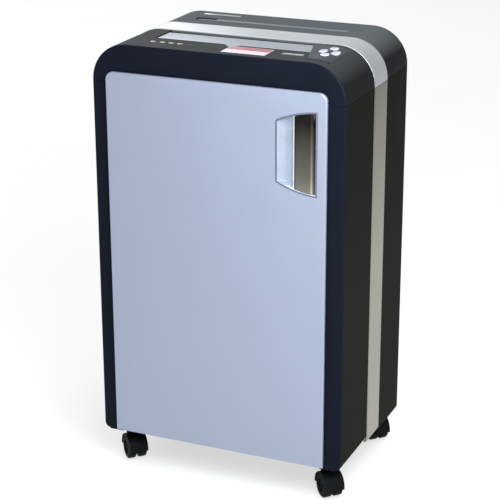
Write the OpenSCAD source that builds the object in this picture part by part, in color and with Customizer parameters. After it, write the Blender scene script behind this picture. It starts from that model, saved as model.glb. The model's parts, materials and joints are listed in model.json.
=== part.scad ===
// Cabinet paper shredder on casters, with a side-hinged door over its waste bin.
// Frame: +X to the right, +Y to the rear, +Z up, origin on the floor under the middle.

/* [Cabinet] */
// Width across the side walls
body_w = 400; // [360:5:480]
// Depth from the front frame to the rear panel
body_d = 271; // [262:1:330]
// Height from the underside of the body to its top
body_h = 625; // [520:5:760]
// Radius of the two upper corners
corner_r = 56; // [44:1:64]
// Straight wall between the corner and the seam of the head
head_straight = 2; // [1:1:12]
// Radius of the two lower corners of the front
foot_r = 10; // [7:1:14]
// Radius of the lower corners of the rear shell and of the band
rear_foot_r = 5; // [4:1:10]
// Distance that the rear shell reaches below the underside
rear_skirt = 9; // [0:1:12]
// Distance that the band reaches below the underside
band_skirt = 4; // [0:1:12]
// Thickness of the moulded walls
wall = 3; // [2:0.5:4]
// Radius of the rounded front and rear edges
edge_r = 3.5; // [1:0.5:5]
// Width of the open joint between two covers
seam = 0.6; // [0.2:0.1:1.2]
// Thickness of the bottom board
base_t = 12; // [6:1:18]

/* [Trim band] */
// Distance from the front frame to the band
band_front = 118; // [112:1:124]
// Width of the band
band_w = 56; // [40:1:62]
// Height that the band stands proud of the covers
band_proud = 0.8; // [0.2:0.1:1.5]

/* [Door] */
// Width of the door
door_w = 348; // [330:1:352]
// Thickness of the door
door_t = 8; // [7:0.5:12]
// Gap between the door and the front frame
door_gap = 0.8; // [0.5:0.1:2]
// Distance from the top of the body to the top of the door
door_drop = 40; // [30:1:50]
// Height of the door's lower edge above the underside of the body
door_foot = 5; // [0:1:10]
// Radius of the door's upper corners
door_r = 12; // [6:1:20]
// Overlap of the door on the frame at each side
door_lap = 8; // [6:1:12]
// Depth of the liner behind the door
liner_d = 10; // [6:1:12]

/* [Handle] */
// Distance from the door's right edge to the handle
handle_margin = 14; // [12:1:24]
// Width of the handle
handle_w = 63; // [50:1:80]
// Height of the handle at its right edge
handle_h = 125; // [100:1:160]
// Distance from the door's top to the handle's top
handle_drop = 28; // [20:1:60]
// Radius of the handle's upper and lower edges
handle_arc_r = 157; // [150:1:220]
// Width of the grip plate
grip_w = 33; // [24:1:38]
// Depth of the finger scoop
scoop_d = 22; // [18:1:24]

/* [Head] */
// Width of the paper opening in the top
throat_w = 250; // [236:1:262]
// Distance from the front frame to the paper opening
throat_front = 61; // [56:1:70]
// Width of the slot that the paper falls through
slot_gap = 6; // [5:0.5:8]
// Travel of a key
key_travel = 1.2; // [0.8:0.1:1.6]
// Clearance round a key
key_gap = 0.4; // [0.3:0.1:0.8]

/* [Cutters] */
// Distance between the two cutter shafts
cutter_gap = 44; // [40:2:48]
// Radius that the discs of one shaft reach past the middle
disc_lap = 2; // [1:0.5:3]
// Distance between two discs of one shaft
disc_pitch = 8; // [7:0.5:10]
// Thickness of a cutting disc
disc_t = 3.4; // [2.4:0.1:3.4]
// Radius of the shaft journals
journal_r = 8; // [6:0.5:9]
// Radial clearance of every running fit
run_fit = 0.05; // [0.02:0.01:0.08]

/* [Casters] */
// Height from the floor to the underside of the body
caster_h = 55; // [52:1:72]
// Diameter of a caster wheel
wheel_d = 38; // [34:1:40]
// Width of one wheel of the pair
wheel_w = 11.5; // [9:0.5:14]
// Distance of the axle behind the swivel pin
trail = 10; // [8:1:12]
// Direction that the casters point in at rest
caster_turn = -45; // [-90:5:90]
// Distance from a swivel pin to the side wall
caster_in_x = 33; // [30:1:40]
// Distance from the front swivel pins to the front frame
caster_in_front = 32; // [28:1:60]
// Distance from the rear swivel pins to the rear panel
caster_in_rear = 25; // [24:1:60]

/* [Bin] */
// Height of the waste bin
bin_h = 440; // [300:5:455]
// Gap between the bin and what is round it
bin_gap = 8; // [4:1:16]

/* [Hidden] */
$fn = 96;
eps = 1;                                   // overlap of a cutter beyond the face that it cuts
touch = 0.3;                               // gap between pieces that nearly touch

// Levels and planes of the body
half_w = body_w / 2;
base_z = caster_h;
top_z = base_z + body_h;
head_h = corner_r + head_straight;
seam_z = top_z - head_h;
screw_r = 2;
screw_head_r = 4;
screw_head_t = 2;
door_proud = door_t + door_gap;
front_y = (door_proud - body_d - screw_head_t) / 2;
rear_y = front_y + body_d;
corner_x = half_w - corner_r;
corner_z = top_z - corner_r;
band_y = front_y + band_front;
band_end_y = band_y + band_w;
rear_depth = body_d - band_front - band_w;
band_chamfer = 1;
head_lip = 12;                             // width of the rounded rim round the front of the head

// Door and hinge
door_half = door_w / 2;
door_face_y = front_y - door_proud;
door_top = top_z - door_drop;
door_low = base_z + door_foot;
opening_half = door_half - door_lap;
hinge_x = -door_half + door_t / 2;
hinge_y = door_face_y + door_t / 2;
hinge_skin = 0.8;                          // thickness of the door's skin in front of an eye
hinge_notch_r = door_t / 2 - hinge_skin;
hinge_eye_r = hinge_notch_r - touch;
hinge_pin_r = 1.6;
hinge_arm = 3;                             // thickness of the arm that carries the eye
hinge_h = 24;                              // height of a bracket's eye
hinge_notch_gap = 1;
hinge_reach = 14;                          // length of the pin inside the door, each way
hinge_in = 70;                             // distance from the door's ends to the hinges
hinge_heights = [door_low + hinge_in, door_top - hinge_in];
leaf_w = 22;
leaf_t = 3;

// Handle
handle_x1 = door_half - handle_margin;
handle_x0 = handle_x1 - handle_w;
handle_z = door_top - handle_drop - handle_h / 2;
handle_rim = 2;
grip_t = 2.5;
grip_sink = 0.6;
scoop_r = 38;

// Paper path
throat_half = throat_w / 2;
throat_y = front_y + throat_front;
plate_t = 2.5;
plate_end_y = band_y - 14;
slot_y = band_y - 7;
tab_w = 26;
tab_l = 13;
tab_tip = 3;                               // half of the width at the tab's point
chute_half = throat_half - 2;
chute_bottom = cutter_gap / 2 + 8;         // height of the chute's lower end above the shafts
paper_half = chute_half - 8;

// Cutting unit
cutter_z = seam_z - 12;
disc_r = cutter_gap / 2 + disc_lap;
core_r = disc_r - 2 * disc_lap - 2;
plate_x = chute_half + 1;                  // inner face of the chassis plates
chassis_t = 3;
chassis_front = 62;
chassis_rear = 132;
deck_z = cutter_z - 56;
deck_t = 3;
deck_front = front_y - door_proud + scoop_d + handle_rim + 2;
chassis_top = 40;
bush_r = journal_r + 3.5;
disc_side = floor((plate_x - 6) / disc_pitch); // discs on each side of the middle one
finger_t = disc_pitch - disc_t - 1.6;
comb_t = 6;
rod_r = 4;
rod_places = [[-50, -36], [50, -44], [96, 22]];

// Gears: teeth, module and places in the plane across the shafts
gear_m = 2;
sync_teeth = round(cutter_gap / gear_m);
sync_m = cutter_gap / sync_teeth;          // module that meshes at the shafts' own distance
drive_teeth = 36;
idler_teeth = 28;
pinion_teeth = 16;
gear_w = 10;
gear_backlash = 0.3;
rear_shaft = [slot_y + cutter_gap / 2, cutter_z];
front_shaft = [slot_y - cutter_gap / 2, cutter_z];
motor_axis = [slot_y + 100, cutter_z - 13];
motor_r = 30;
motor_l = 104;
motor_shaft_r = 4;
idler_pin_r = 5;
drive_idler = gear_m * (drive_teeth + idler_teeth) / 2;
idler_pinion = gear_m * (idler_teeth + pinion_teeth) / 2;
motor_reach = norm(motor_axis - rear_shaft);
motor_angle = atan2(motor_axis[1] - rear_shaft[1], motor_axis[0] - rear_shaft[0]);
idler_lift = acos((drive_idler * drive_idler + motor_reach * motor_reach
    - idler_pinion * idler_pinion) / (2 * drive_idler * motor_reach));
idler_angle = motor_angle + idler_lift;
idler_axis = rear_shaft + drive_idler * [cos(idler_angle), sin(idler_angle)];
pinion_angle = atan2(motor_axis[1] - idler_axis[1], motor_axis[0] - idler_axis[0]);
idler_turn = mesh_turn(0, idler_angle, drive_teeth, idler_teeth);
pinion_turn = mesh_turn(idler_turn, pinion_angle, idler_teeth, pinion_teeth);
gear_x = plate_x + chassis_t + 3;          // near face of the outboard gears

// Controls, measured from the top's middle and the front frame
pad_t = 1;
pad_x = [half_w - 90, half_w - 67, half_w - 34, half_w - 34];
pad_y = [front_y + 106, front_y + 20, front_y + 20, front_y + 106];
ridge_w = 2;
ridge_t = 1.4;
keys_x = half_w - 53;
keys_y = front_y + 70.5;
key_rise = 2.4;
key_stem = wall + key_travel + 0.8;        // a pressed key stays guided by the wall
// Each key: offset from the cluster's middle, then half of its width and of its length
KEY_REVERSE = [0, 19.5, 6, 7.5];
KEY_STOP = [-9.3, 0, 5.4, 9];
KEY_AUTO = [0, -19.5, 6, 7.5];
KEY_FORWARD = [9.3, 0, 5.8, 10];
board_drop = 17;
board_t = 1.6;
lens_xs = [-117, -101, -87, -73, -57];
lens_size = [8, 5];
lens_y = front_y + 37;
lens_t = wall + 0.3;
label_t = 0.3;
strip_w = 14;
strip_half = throat_half - 1;
strip_y = band_end_y + 36;
strip_t = 1.2;

// Rear panel
vent_count = 9;
vent_size = [90, 4];
vent_pitch = 9;
inlet_size = [28, 20, 18];
inlet_pin = 7;
inlet_x = 110;
inlet_z = base_z + 60;
rocker_x = inlet_x - 42;
rocker_size = [13, 19];
rocker_r = 12;
rocker_tilt = 8;
panel_half = half_w - rear_foot_r;
board_half = half_w - foot_r;

// Casters
wheel_r = wheel_d / 2;
web_t = 6;                                 // thickness of the web between the wheels
caster_gap = 0.8;
hood_t = 2.4;
pair_half = web_t / 2 + caster_gap + wheel_w;
hood_r = wheel_r + caster_gap + hood_t;
axle_r = 3;
swivel_r = 5;
swivel_boss_r = 10;
caster_plate_r = 17;
caster_plate_t = 3;
caster_x = half_w - caster_in_x;
caster_ys = [front_y + caster_in_front, rear_y - caster_in_rear];

// Waste bin and what is round it
bin_z = base_z + base_t + touch;
bin_half = opening_half - bin_gap;
bin_y = [front_y + 34, rear_y - inlet_size[2] - bin_gap];
bin_wall = 2.5;

// Rotation of the second gear of a meshing pair, for the first one's rotation and their direction
function mesh_turn(turn, direction, teeth_a, teeth_b) =
    direction + 180 - (turn - direction) * teeth_a / teeth_b - 180 / teeth_b;

// Involute of an angle, in degrees
function involute(angle) = tan(angle) * 180 / PI - angle;

// Outline of a gear with involute flanks, for its teeth and module
function gear_points(teeth, m) =
    let (
        pitch_r = m * teeth / 2,
        base_r = pitch_r * cos(20),
        tip_r = pitch_r + 0.9 * m,
        root_r = pitch_r - 1.2 * m,
        half_pitch = 90 / teeth - gear_backlash / pitch_r * 45 / PI,
        start_r = max(base_r, root_r),
        steps = 4,
        radii = [for (i = [0 : steps]) start_r + (tip_r - start_r) * i / steps],
        halves = [for (r = radii) half_pitch + involute(20) - involute(acos(min(1, base_r / r)))]
    )
    [for (i = [0 : teeth - 1]) let (mid = 360 * i / teeth) each concat(
        [root_r * [cos(mid - halves[0]), sin(mid - halves[0])]],
        [for (k = [0 : steps]) radii[k] * [cos(mid - halves[k]), sin(mid - halves[k])]],
        [for (k = [steps : -1 : 0]) radii[k] * [cos(mid + halves[k]), sin(mid + halves[k])]],
        [root_r * [cos(mid + halves[0]), sin(mid + halves[0])]]
    )];

// Height of the head's outer surface at a distance x from the middle
function arch_z(x) = abs(x) <= corner_x ? top_z
    : corner_z + sqrt(max(0, corner_r * corner_r - pow(abs(x) - corner_x, 2)));

// ---- Shared shapes ----

// Exchanges the Y and Z axes of its children
module swap_yz() {
    mirror([0, 1, 0]) rotate([90, 0, 0]) children();
}

// Turns a flat outline's X and Y into Y and Z, and its extrusion into X
module across_x() {
    rotate([90, 0, 90]) children();
}

// Extrudes an outline of X and Z backwards from a plane at y
module from_front(y, depth) {
    translate([0, y, 0]) swap_yz() linear_extrude(depth) children();
}

// Rectangle with four round corners, centred
module round_rect(size, r) {
    square([size[0] - 2 * r, size[1]], center = true);
    square([size[0], size[1] - 2 * r], center = true);
    for (x = [-1, 1], y = [-1, 1])
        translate([x * (size[0] / 2 - r), y * (size[1] / 2 - r)]) circle(r);
}

// Waste that is cut off a square outer corner to round it
module corner_waste(r) {
    difference() {
        translate([0, -eps]) square(r + eps);
        translate([0, r]) circle(r);
    }
}

// Section of an outer wall with a rounded lip: X out from the corner's centre, Y into the body
module rim_section(r, depth, lip) {
    difference() {
        union() {
            translate([r - wall, 0]) square([wall, depth]);
            translate([r - lip, 0]) square([lip, wall]);
        }
        translate([r - edge_r, 0]) corner_waste(edge_r);
    }
}

// Section of the trim band, with chamfered outer edges
module band_section(r) {
    width = band_w - seam;
    polygon([
        [r - wall, 0], [r + band_proud - band_chamfer, 0], [r + band_proud, band_chamfer],
        [r + band_proud, width - band_chamfer], [r + band_proud - band_chamfer, width],
        [r - wall, width]
    ]);
}

// Carries a wall section over the top and round both upper corners, down to the seam
module head_arch() {
    straight = head_straight - seam / 2;
    translate([0, 0, corner_z]) rotate([0, -90, 0])
        linear_extrude(2 * corner_x, center = true) children();
    for (side = [0, 1]) mirror([side, 0, 0]) translate([corner_x, 0, corner_z]) {
        swap_yz() rotate_extrude(angle = 90) children();
        translate([0, 0, -straight]) linear_extrude(straight) children();
    }
}

// Carries a wall section down one side of the cabinet and round its lower corner of radius r
module side_run(r, low) {
    translate([half_w - r, 0, low + r]) {
        linear_extrude(seam_z - seam / 2 - low - r) children();
        mirror([0, 0, 1]) swap_yz() rotate_extrude(angle = 90) children();
    }
}

// Outline of the head in X and Z, pulled in from its outer surface
module head_outline(inset) {
    low = seam_z + seam / 2;
    intersection() {
        union() {
            translate([-corner_x, low]) square([2 * corner_x, top_z - inset - low]);
            translate([-half_w + inset, low]) square([2 * (half_w - inset), corner_z - low]);
            for (side = [-1, 1]) translate([side * corner_x, corner_z]) circle(corner_r - inset);
        }
        translate([-half_w, low]) square([body_w, head_h]);
    }
}

// Reflects a right-hand piece into its left-hand twin
module left_twin() {
    mirror([1, 0, 0]) children();
}

// A screw with its head above z = 0 and its shank below
module screw(shank) {
    cylinder(r = screw_head_r, h = screw_head_t);
    translate([0, 0, -shank]) cylinder(r = screw_r, h = shank);
}

// ---- Head covers ----

module head_front_cover() {
    color("#6d7379") difference() {
        union() {
            translate([0, front_y, 0]) head_arch() rim_section(corner_r, band_front - seam / 2, head_lip);
            from_front(front_y, wall) head_outline(head_lip / 2);
        }
        throat_waste();
        for (key = [KEY_REVERSE, KEY_STOP, KEY_AUTO, KEY_FORWARD]) key_waste(key);
        for (x = lens_xs) translate([x, lens_y, top_z - wall - eps])
            linear_extrude(wall + 2 * eps) square(lens_size + [touch, touch], center = true);
    }
}

module head_band() {
    color("#e2e3e8") translate([0, band_y + seam / 2, 0]) head_arch() band_section(corner_r);
}

module head_rear_cover() {
    color("#6d7379") difference() {
        union() {
            translate([0, rear_y, 0]) mirror([0, 1, 0]) head_arch()
                rim_section(corner_r, rear_depth - seam / 2, head_lip);
            from_front(rear_y - wall, wall) head_outline(head_lip / 2);
        }
        translate([0, strip_y, top_z - strip_t]) linear_extrude(strip_t + eps) strip_outline(touch);
        translate([-strip_half - 4, strip_y - 2, top_z - strip_t])
            linear_extrude(strip_t + eps) square([34, strip_w], center = false);
        translate([0, 0, top_z - label_t]) linear_extrude(label_t + eps) rear_label_outline(0.1);
    }
}

// Outline of the long strip let into the rear cover
module strip_outline(grow) {
    square([2 * (strip_half + grow), strip_w - 4 + 2 * grow], center = true);
}

// Outline of the blank label let into the rear cover
module rear_label_outline(grow) {
    translate([-100, rear_y - 23]) square([62 + 2 * grow, 8 + 2 * grow], center = true);
}

module rear_strip() {
    color("#7b828a") translate([0, strip_y, top_z - strip_t + 0.01])
        linear_extrude(strip_t + 0.3) strip_outline(0);
}

module labels() {
    color("#eeeae9") {
        translate([36, front_y + 36, top_z]) linear_extrude(label_t) square([72, 42], center = true);
        translate([104, front_y + 38, top_z]) linear_extrude(label_t) square([32, 9], center = true);
        translate([0, 0, top_z - label_t]) linear_extrude(label_t) rear_label_outline(0);
    }
}

// ---- Paper path ----

// Outline of the paper opening, from above, with its pointed tab at the front
module throat_outline(grow, rear) {
    translate([-throat_half - grow, throat_y - grow])
        square([throat_w + 2 * grow, rear - throat_y + grow]);
    polygon([
        [-tab_w / 2 - grow, throat_y + eps], [-tab_tip - grow, throat_y - tab_l - grow],
        [tab_tip + grow, throat_y - tab_l - grow], [tab_w / 2 + grow, throat_y + eps]
    ]);
}

module throat_waste() {
    translate([0, 0, top_z - wall - eps])
        linear_extrude(wall + 2 * eps) throat_outline(0, band_y + eps);
}

module throat_plate() {
    color("#c9ccd3") translate([0, 0, top_z - plate_t - 0.4])
        linear_extrude(plate_t) throat_outline(-touch, plate_end_y);
}

module paper_chute() {
    low = cutter_z + chute_bottom;
    high = top_z - wall - 0.2;
    rear = band_y - touch;
    front = plate_end_y + touch;
    mouth = high - 14;
    color("#26282b") difference() {
        translate([-chute_half, front, low]) cube([2 * chute_half, rear - front, high - low]);
        translate([-paper_half, 0, 0]) across_x() linear_extrude(2 * paper_half) polygon([
            [slot_y - slot_gap / 2, low - eps], [slot_y + slot_gap / 2, low - eps],
            [slot_y + slot_gap / 2, mouth], [rear - 1.2, high + eps], [front + 1.2, high + eps],
            [slot_y - slot_gap / 2, mouth]
        ]);
    }
}

// ---- Controls ----

// Outline of a key from above, grown by a clearance
module key_outline(key, grow) {
    long = key[3] + grow;
    wide = key[2] + grow;
    square([2 * wide, 2 * (long - wide)], center = true);
    for (end = [-1, 1]) translate([0, end * (long - wide)]) circle(wide);
}

module at_key(key) {
    translate([keys_x + key[0], keys_y + key[1], arch_z(keys_x + key[0])]) children();
}

module key_waste(key) {
    at_key(key) translate([0, 0, -4 * wall]) linear_extrude(8 * wall) key_outline(key, key_gap);
}

module key_piece(key) {
    color("#d3d4e2") at_key(key) translate([0, 0, -key_stem])
        linear_extrude(key_stem + key_rise) key_outline(key, 0);
}

module key_reverse() {
    key_piece(KEY_REVERSE);
}

module key_stop() {
    key_piece(KEY_STOP);
}

module key_auto() {
    key_piece(KEY_AUTO);
}

module key_forward() {
    key_piece(KEY_FORWARD);
}

// Skin of the given thickness on the head's surface, inside an outline seen from above
module head_skin(thick) {
    intersection() {
        translate([0, front_y, 0]) head_arch() translate([corner_r, edge_r])
            square([thick, band_front - seam - edge_r]);
        translate([0, 0, seam_z]) linear_extrude(head_h + 10) children();
    }
}

module control_pad() {
    color("#565c66") difference() {
        union() {
            head_skin(pad_t) polygon([for (i = [0 : 3]) [pad_x[i], pad_y[i]]]);
            head_skin(ridge_t + pad_t) translate([pad_x[2] - ridge_w, pad_y[2]])
                square([ridge_w, pad_y[3] - pad_y[2]]);
        }
        for (key = [KEY_REVERSE, KEY_STOP, KEY_AUTO, KEY_FORWARD]) key_waste(key);
    }
}

module indicator_lenses() {
    color("#c8d6dc") for (x = lens_xs) translate([x, lens_y, top_z - wall])
        linear_extrude(lens_t) square(lens_size, center = true);
}

module control_board() {
    width = 60;
    color("#2f6b46") translate([keys_x - width / 2 - 6, front_y + 24, top_z - board_drop]) {
        cube([width, 76, board_t]);
        for (y = [6, 70]) translate([4, y, board_t])
            cylinder(r = 3, h = board_drop - board_t - wall - 0.1);
    }
}

// ---- Cabinet ----

module front_post_right() {
    width = half_w - foot_r / 2 - opening_half;
    height = seam_z - seam / 2 - base_z - foot_r;
    color("#20242f") {
        translate([0, front_y, 0]) side_run(foot_r, base_z)
            rim_section(foot_r, band_front - seam / 2, foot_r - 1);
        translate([opening_half, front_y, base_z + foot_r]) cube([width, wall, height]);
        translate([opening_half, front_y, base_z])
            cube([half_w - foot_r - opening_half, wall, foot_r + eps]);
    }
}

module front_post_left() {
    color("#20242f") difference() {
        left_twin() front_post_right();
        for (z = hinge_heights) translate([hinge_x, front_y + wall / 2, z])
            cube([hinge_arm + touch, wall + 2 * eps, hinge_h + touch], center = true);
    }
}

module side_band_right() {
    color("#a9a59c") translate([0, band_y + seam / 2, 0])
        side_run(rear_foot_r, base_z - band_skirt) band_section(rear_foot_r);
}

module side_band_left() {
    left_twin() side_band_right();
}

module rear_side_right() {
    color("#2a2b2a") translate([0, rear_y, 0]) mirror([0, 1, 0])
        side_run(rear_foot_r, base_z - rear_skirt)
            rim_section(rear_foot_r, rear_depth - seam / 2, rear_foot_r - 0.5);
}

module rear_side_left() {
    left_twin() rear_side_right();
}

module at_panel_screws() {
    low = base_z + base_t + 14;
    high = seam_z - 14;
    for (x = [-1, 1], i = [0 : 3])
        translate([x * (panel_half - 12), rear_y, low + (high - low) * i / 3])
            rotate([-90, 0, 0]) children();
}

module rear_panel() {
    low = base_z - rear_skirt;
    color("#2a2b2a") difference() {
        translate([-panel_half, rear_y - wall, low])
            cube([2 * panel_half, wall, seam_z - seam / 2 - low]);
        for (i = [0 : vent_count - 1], side = [-1, 1])
            translate([side * 60, rear_y - wall / 2, seam_z - 30 - i * vent_pitch])
                cube([vent_size[0], wall + 2 * eps, vent_size[1]], center = true);
        translate([inlet_x, rear_y - wall / 2, inlet_z])
            cube([inlet_size[0] + touch, wall + 2 * eps, inlet_size[1] + touch], center = true);
        translate([rocker_x, rear_y - wall / 2, inlet_z])
            cube([rocker_size[0] + 1, wall + 2 * eps, rocker_size[1] + 2], center = true);
        at_panel_screws() translate([0, 0, -wall - eps]) cylinder(r = screw_r + 0.1, h = wall + 2 * eps);
    }
}

module panel_screws() {
    color("#8b8e92") at_panel_screws() translate([0, 0, 0.02]) screw(wall + 4);
}

module base_board() {
    color("#1c1d20") translate([-board_half, front_y + wall, base_z])
        cube([2 * board_half, body_d - 2 * wall, base_t]);
}

module cutter_deck() {
    inside = half_w - wall - touch;
    hole = [2 * paper_half, 96];
    color("#8d9094") difference() {
        translate([-inside, deck_front, deck_z])
            cube([2 * inside, rear_y - wall - touch - deck_front, deck_t]);
        translate([0, slot_y, deck_z - eps])
            linear_extrude(deck_t + 2 * eps) square(hole, center = true);
    }
}

module waste_bin() {
    height = bin_h;
    size = [2 * bin_half, bin_y[1] - bin_y[0], height];
    color("#3a3d40") difference() {
        translate([-bin_half, bin_y[0], bin_z]) cube(size);
        translate([-bin_half + bin_wall, bin_y[0] + bin_wall, bin_z + bin_wall])
            cube(size - [2 * bin_wall, 2 * bin_wall, 0]);
        translate([0, bin_y[0] - eps, bin_z + height - 40]) swap_yz()
            linear_extrude(bin_wall + 2 * eps) round_rect([90, 26], 12);
    }
}

module mains_inlet() {
    depth = inlet_size[2];
    color("#191a1c") difference() {
        translate([inlet_x - inlet_size[0] / 2, rear_y - depth, inlet_z - inlet_size[1] / 2])
            cube([inlet_size[0], depth, inlet_size[1]]);
        translate([inlet_x - inlet_size[0] / 2 + 2, rear_y - depth + 3, inlet_z - inlet_size[1] / 2 + 2])
            cube([inlet_size[0] - 4, depth, inlet_size[1] - 4]);
    }
    color("#c7b27a") for (x = [-7, 0, 7])
        translate([inlet_x + x - 1, rear_y - depth + 3, inlet_z - 2 + (x == 0 ? 3 : -1)])
            cube([2, inlet_pin, 3]);
}

// The rocker turns about a pin along X inside the panel
module rocker_switch() {
    color("#1b1b1d") translate([rocker_x - rocker_size[0] / 2, rear_y - rocker_r, inlet_z])
        across_x() linear_extrude(rocker_size[0]) rotate(rocker_tilt) intersection() {
            circle(rocker_r + 1);
            translate([-2, -rocker_size[1] / 2 + 1]) square([rocker_r + 1.5, rocker_size[1] - 2]);
        }
}

// ---- Cutting unit ----

module at_yz(place) {
    translate([0, place[0], place[1]]) children();
}

module chassis_plate_outline(mirror_side) {
    difference() {
        translate([slot_y - chassis_front, deck_z + deck_t])
            square([chassis_front + chassis_rear, cutter_z + chassis_top - deck_z - deck_t]);
        for (place = [front_shaft, rear_shaft]) translate(place) circle(bush_r);
        for (rod = rod_places) translate([slot_y + rod[0], cutter_z + rod[1]]) circle(rod_r);
        if (mirror_side) {
            translate(motor_axis) circle(motor_shaft_r + 6);
            translate(idler_axis) circle(idler_pin_r);
        }
    }
}

module chassis_left() {
    color("#9aa0a6") translate([-plate_x - chassis_t, 0, 0]) across_x()
        linear_extrude(chassis_t) chassis_plate_outline(true);
}

module chassis_right() {
    color("#9aa0a6") translate([plate_x, 0, 0]) across_x()
        linear_extrude(chassis_t) chassis_plate_outline(false);
}

module shaft_bushes() {
    color("#b08a4e") for (place = [front_shaft, rear_shaft], x = [-plate_x - chassis_t, plate_x])
        translate([x, 0, 0]) across_x() linear_extrude(chassis_t) translate(place) difference() {
            circle(bush_r - 0.02);
            circle(journal_r + run_fit);
        }
}

module tie_rods() {
    color("#b9bcc0") for (rod = rod_places)
        translate([-plate_x - chassis_t, slot_y + rod[0], cutter_z + rod[1]]) rotate([0, 90, 0])
            cylinder(r = rod_r - 0.02, h = 2 * (plate_x + chassis_t));
}

// Places along X: in line with the middle disc, or shifted by half a pitch
function on_pitch(side) = [for (i = [-side : side]) i * disc_pitch];
function off_pitch(side) = [for (i = [-side : side - 1]) (i + 0.5) * disc_pitch];

// Core, discs and journals of one shaft
module cutter(place, disc_xs, reach_left, reach_right) {
    core = plate_x - 1;
    at_yz(place) rotate([0, 90, 0]) {
        translate([0, 0, -core]) cylinder(r = core_r, h = 2 * core);
        translate([0, 0, -reach_left]) cylinder(r = journal_r, h = reach_left + reach_right);
        for (x = disc_xs) translate([0, 0, x - disc_t / 2]) cylinder(r = disc_r, h = disc_t);
    }
}

module cutter_front() {
    color("#84888d")
        cutter(front_shaft, on_pitch(disc_side), plate_x + chassis_t, gear_x + gear_w);
}

module cutter_rear() {
    color("#84888d")
        cutter(rear_shaft, off_pitch(disc_side), gear_x + gear_w, gear_x + gear_w);
}

// Comb whose fingers reach between the discs of one shaft, from outside
module stripper(place, side, finger_xs) {
    reach = disc_r - core_r + 2;
    back = side * (disc_r + 3);
    color("#33363a") translate([0, place[0], place[1]]) {
        translate([-plate_x + touch, back - (side < 0 ? comb_t : 0), -6])
            cube([2 * (plate_x - touch), comb_t, 12]);
        for (x = finger_xs)
            translate([x - finger_t / 2, side > 0 ? back - reach : back, -2])
                cube([finger_t, reach, 4]);
    }
}

module stripper_front() {
    stripper(front_shaft, -1, off_pitch(disc_side));
}

module stripper_rear() {
    stripper(rear_shaft, 1, on_pitch(disc_side - 1));
}

module gear(place, turn, teeth, bore, m = gear_m) {
    at_yz(place) across_x() linear_extrude(gear_w) difference() {
        rotate(turn) polygon(gear_points(teeth, m));
        circle(bore);
    }
}

module sync_gear_front() {
    color("#c2b280") translate([gear_x, 0, 0]) gear(front_shaft, 0, sync_teeth, journal_r, sync_m);
}

module sync_gear_rear() {
    color("#c2b280") translate([gear_x, 0, 0])
        gear(rear_shaft, mesh_turn(0, 0, sync_teeth, sync_teeth), sync_teeth, journal_r, sync_m);
}

module drive_gear() {
    color("#c2b280") translate([-gear_x - gear_w, 0, 0]) gear(rear_shaft, 0, drive_teeth, journal_r);
}

module idler_gear() {
    color("#e4e0d0") translate([-gear_x - gear_w, 0, 0])
        gear(idler_axis, idler_turn, idler_teeth, idler_pin_r + run_fit);
}

module idler_axle() {
    reach = gear_x + gear_w + 2;
    color("#b9bcc0") at_yz(idler_axis) rotate([0, -90, 0]) {
        translate([0, 0, plate_x]) cylinder(r = idler_pin_r - 0.02, h = chassis_t);
        translate([0, 0, plate_x + chassis_t]) cylinder(r = idler_pin_r, h = reach - plate_x - chassis_t);
        translate([0, 0, reach]) cylinder(r = idler_pin_r + 3, h = 1.5);
    }
}

module motor() {
    color("#4b4f55") at_yz(motor_axis) translate([-plate_x + touch, 0, 0]) rotate([0, 90, 0])
        difference() {
            union() {
                cylinder(r = motor_r, h = motor_l);
                translate([0, 0, motor_l]) cylinder(r = motor_r / 2, h = 8);
            }
            translate([0, 0, -eps]) cylinder(r = motor_shaft_r + 0.3, h = 30 + eps);
        }
}

module motor_pinion() {
    color("#c9b98a") {
        translate([-gear_x - gear_w, 0, 0]) gear(motor_axis, pinion_turn, pinion_teeth, motor_shaft_r);
        at_yz(motor_axis) rotate([0, -90, 0]) translate([0, 0, plate_x - 20])
            cylinder(r = motor_shaft_r, h = gear_x + gear_w - plate_x + 20);
    }
}

// ---- Door ----

// Outline of the door in X and Z
module door_outline() {
    height = door_top - door_low;
    translate([-door_half, door_low]) square([door_w, height - door_r]);
    translate([-door_half + door_r, door_low]) square([door_w - 2 * door_r, height]);
    for (x = [-1, 1]) translate([x * (door_half - door_r), door_top - door_r]) circle(door_r);
}

// Plan of the door: a full round along the hinge edge and a rounded front edge at the handle side
module door_plan() {
    translate([hinge_x, door_face_y]) square([door_half - hinge_x - edge_r, door_t]);
    translate([hinge_x, hinge_y]) circle(door_t / 2);
    translate([door_half - 2 * edge_r, door_face_y + edge_r])
        square([2 * edge_r, door_t - edge_r]);
    translate([door_half - edge_r, door_face_y + edge_r]) circle(edge_r);
}

// Outline of the handle in X and Z, pulled in from its edge
module handle_outline(inset) {
    rise = handle_h / 2 - handle_arc_r;
    intersection() {
        translate([handle_x0 + inset, handle_z - handle_h / 2])
            square([handle_w - 2 * inset, handle_h]);
        translate([handle_x1 + 8, handle_z + rise]) circle(handle_arc_r - inset);
        translate([handle_x1 + 8, handle_z - rise]) circle(handle_arc_r - inset);
    }
}

// Room for an eye and its arm inside the door's edge, through the whole swing
module hinge_notch(height) {
    cylinder(r = hinge_notch_r, h = height);
    translate([-door_t, 0, 0]) cube([door_t + 5, door_t, height]);
    translate([-door_t, -hinge_notch_r * 0.86, 0])
        cube([door_t - hinge_notch_r / 2, door_t, height]);
}

module door_panel() {
    notch_h = hinge_h + 2 * hinge_notch_gap;
    color("#b4bfd3") difference() {
        intersection() {
            from_front(door_face_y, door_t) door_outline();
            translate([0, 0, door_low]) linear_extrude(door_top - door_low) door_plan();
        }
        from_front(door_face_y - eps, door_t + 2 * eps) handle_outline(-touch);
        for (z = hinge_heights) {
            translate([hinge_x, hinge_y, z - notch_h / 2]) hinge_notch(notch_h);
            translate([hinge_x, hinge_y, z - notch_h / 2 - hinge_reach])
                cylinder(r = hinge_pin_r + run_fit, h = notch_h + 2 * hinge_reach);
        }
    }
}

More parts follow.
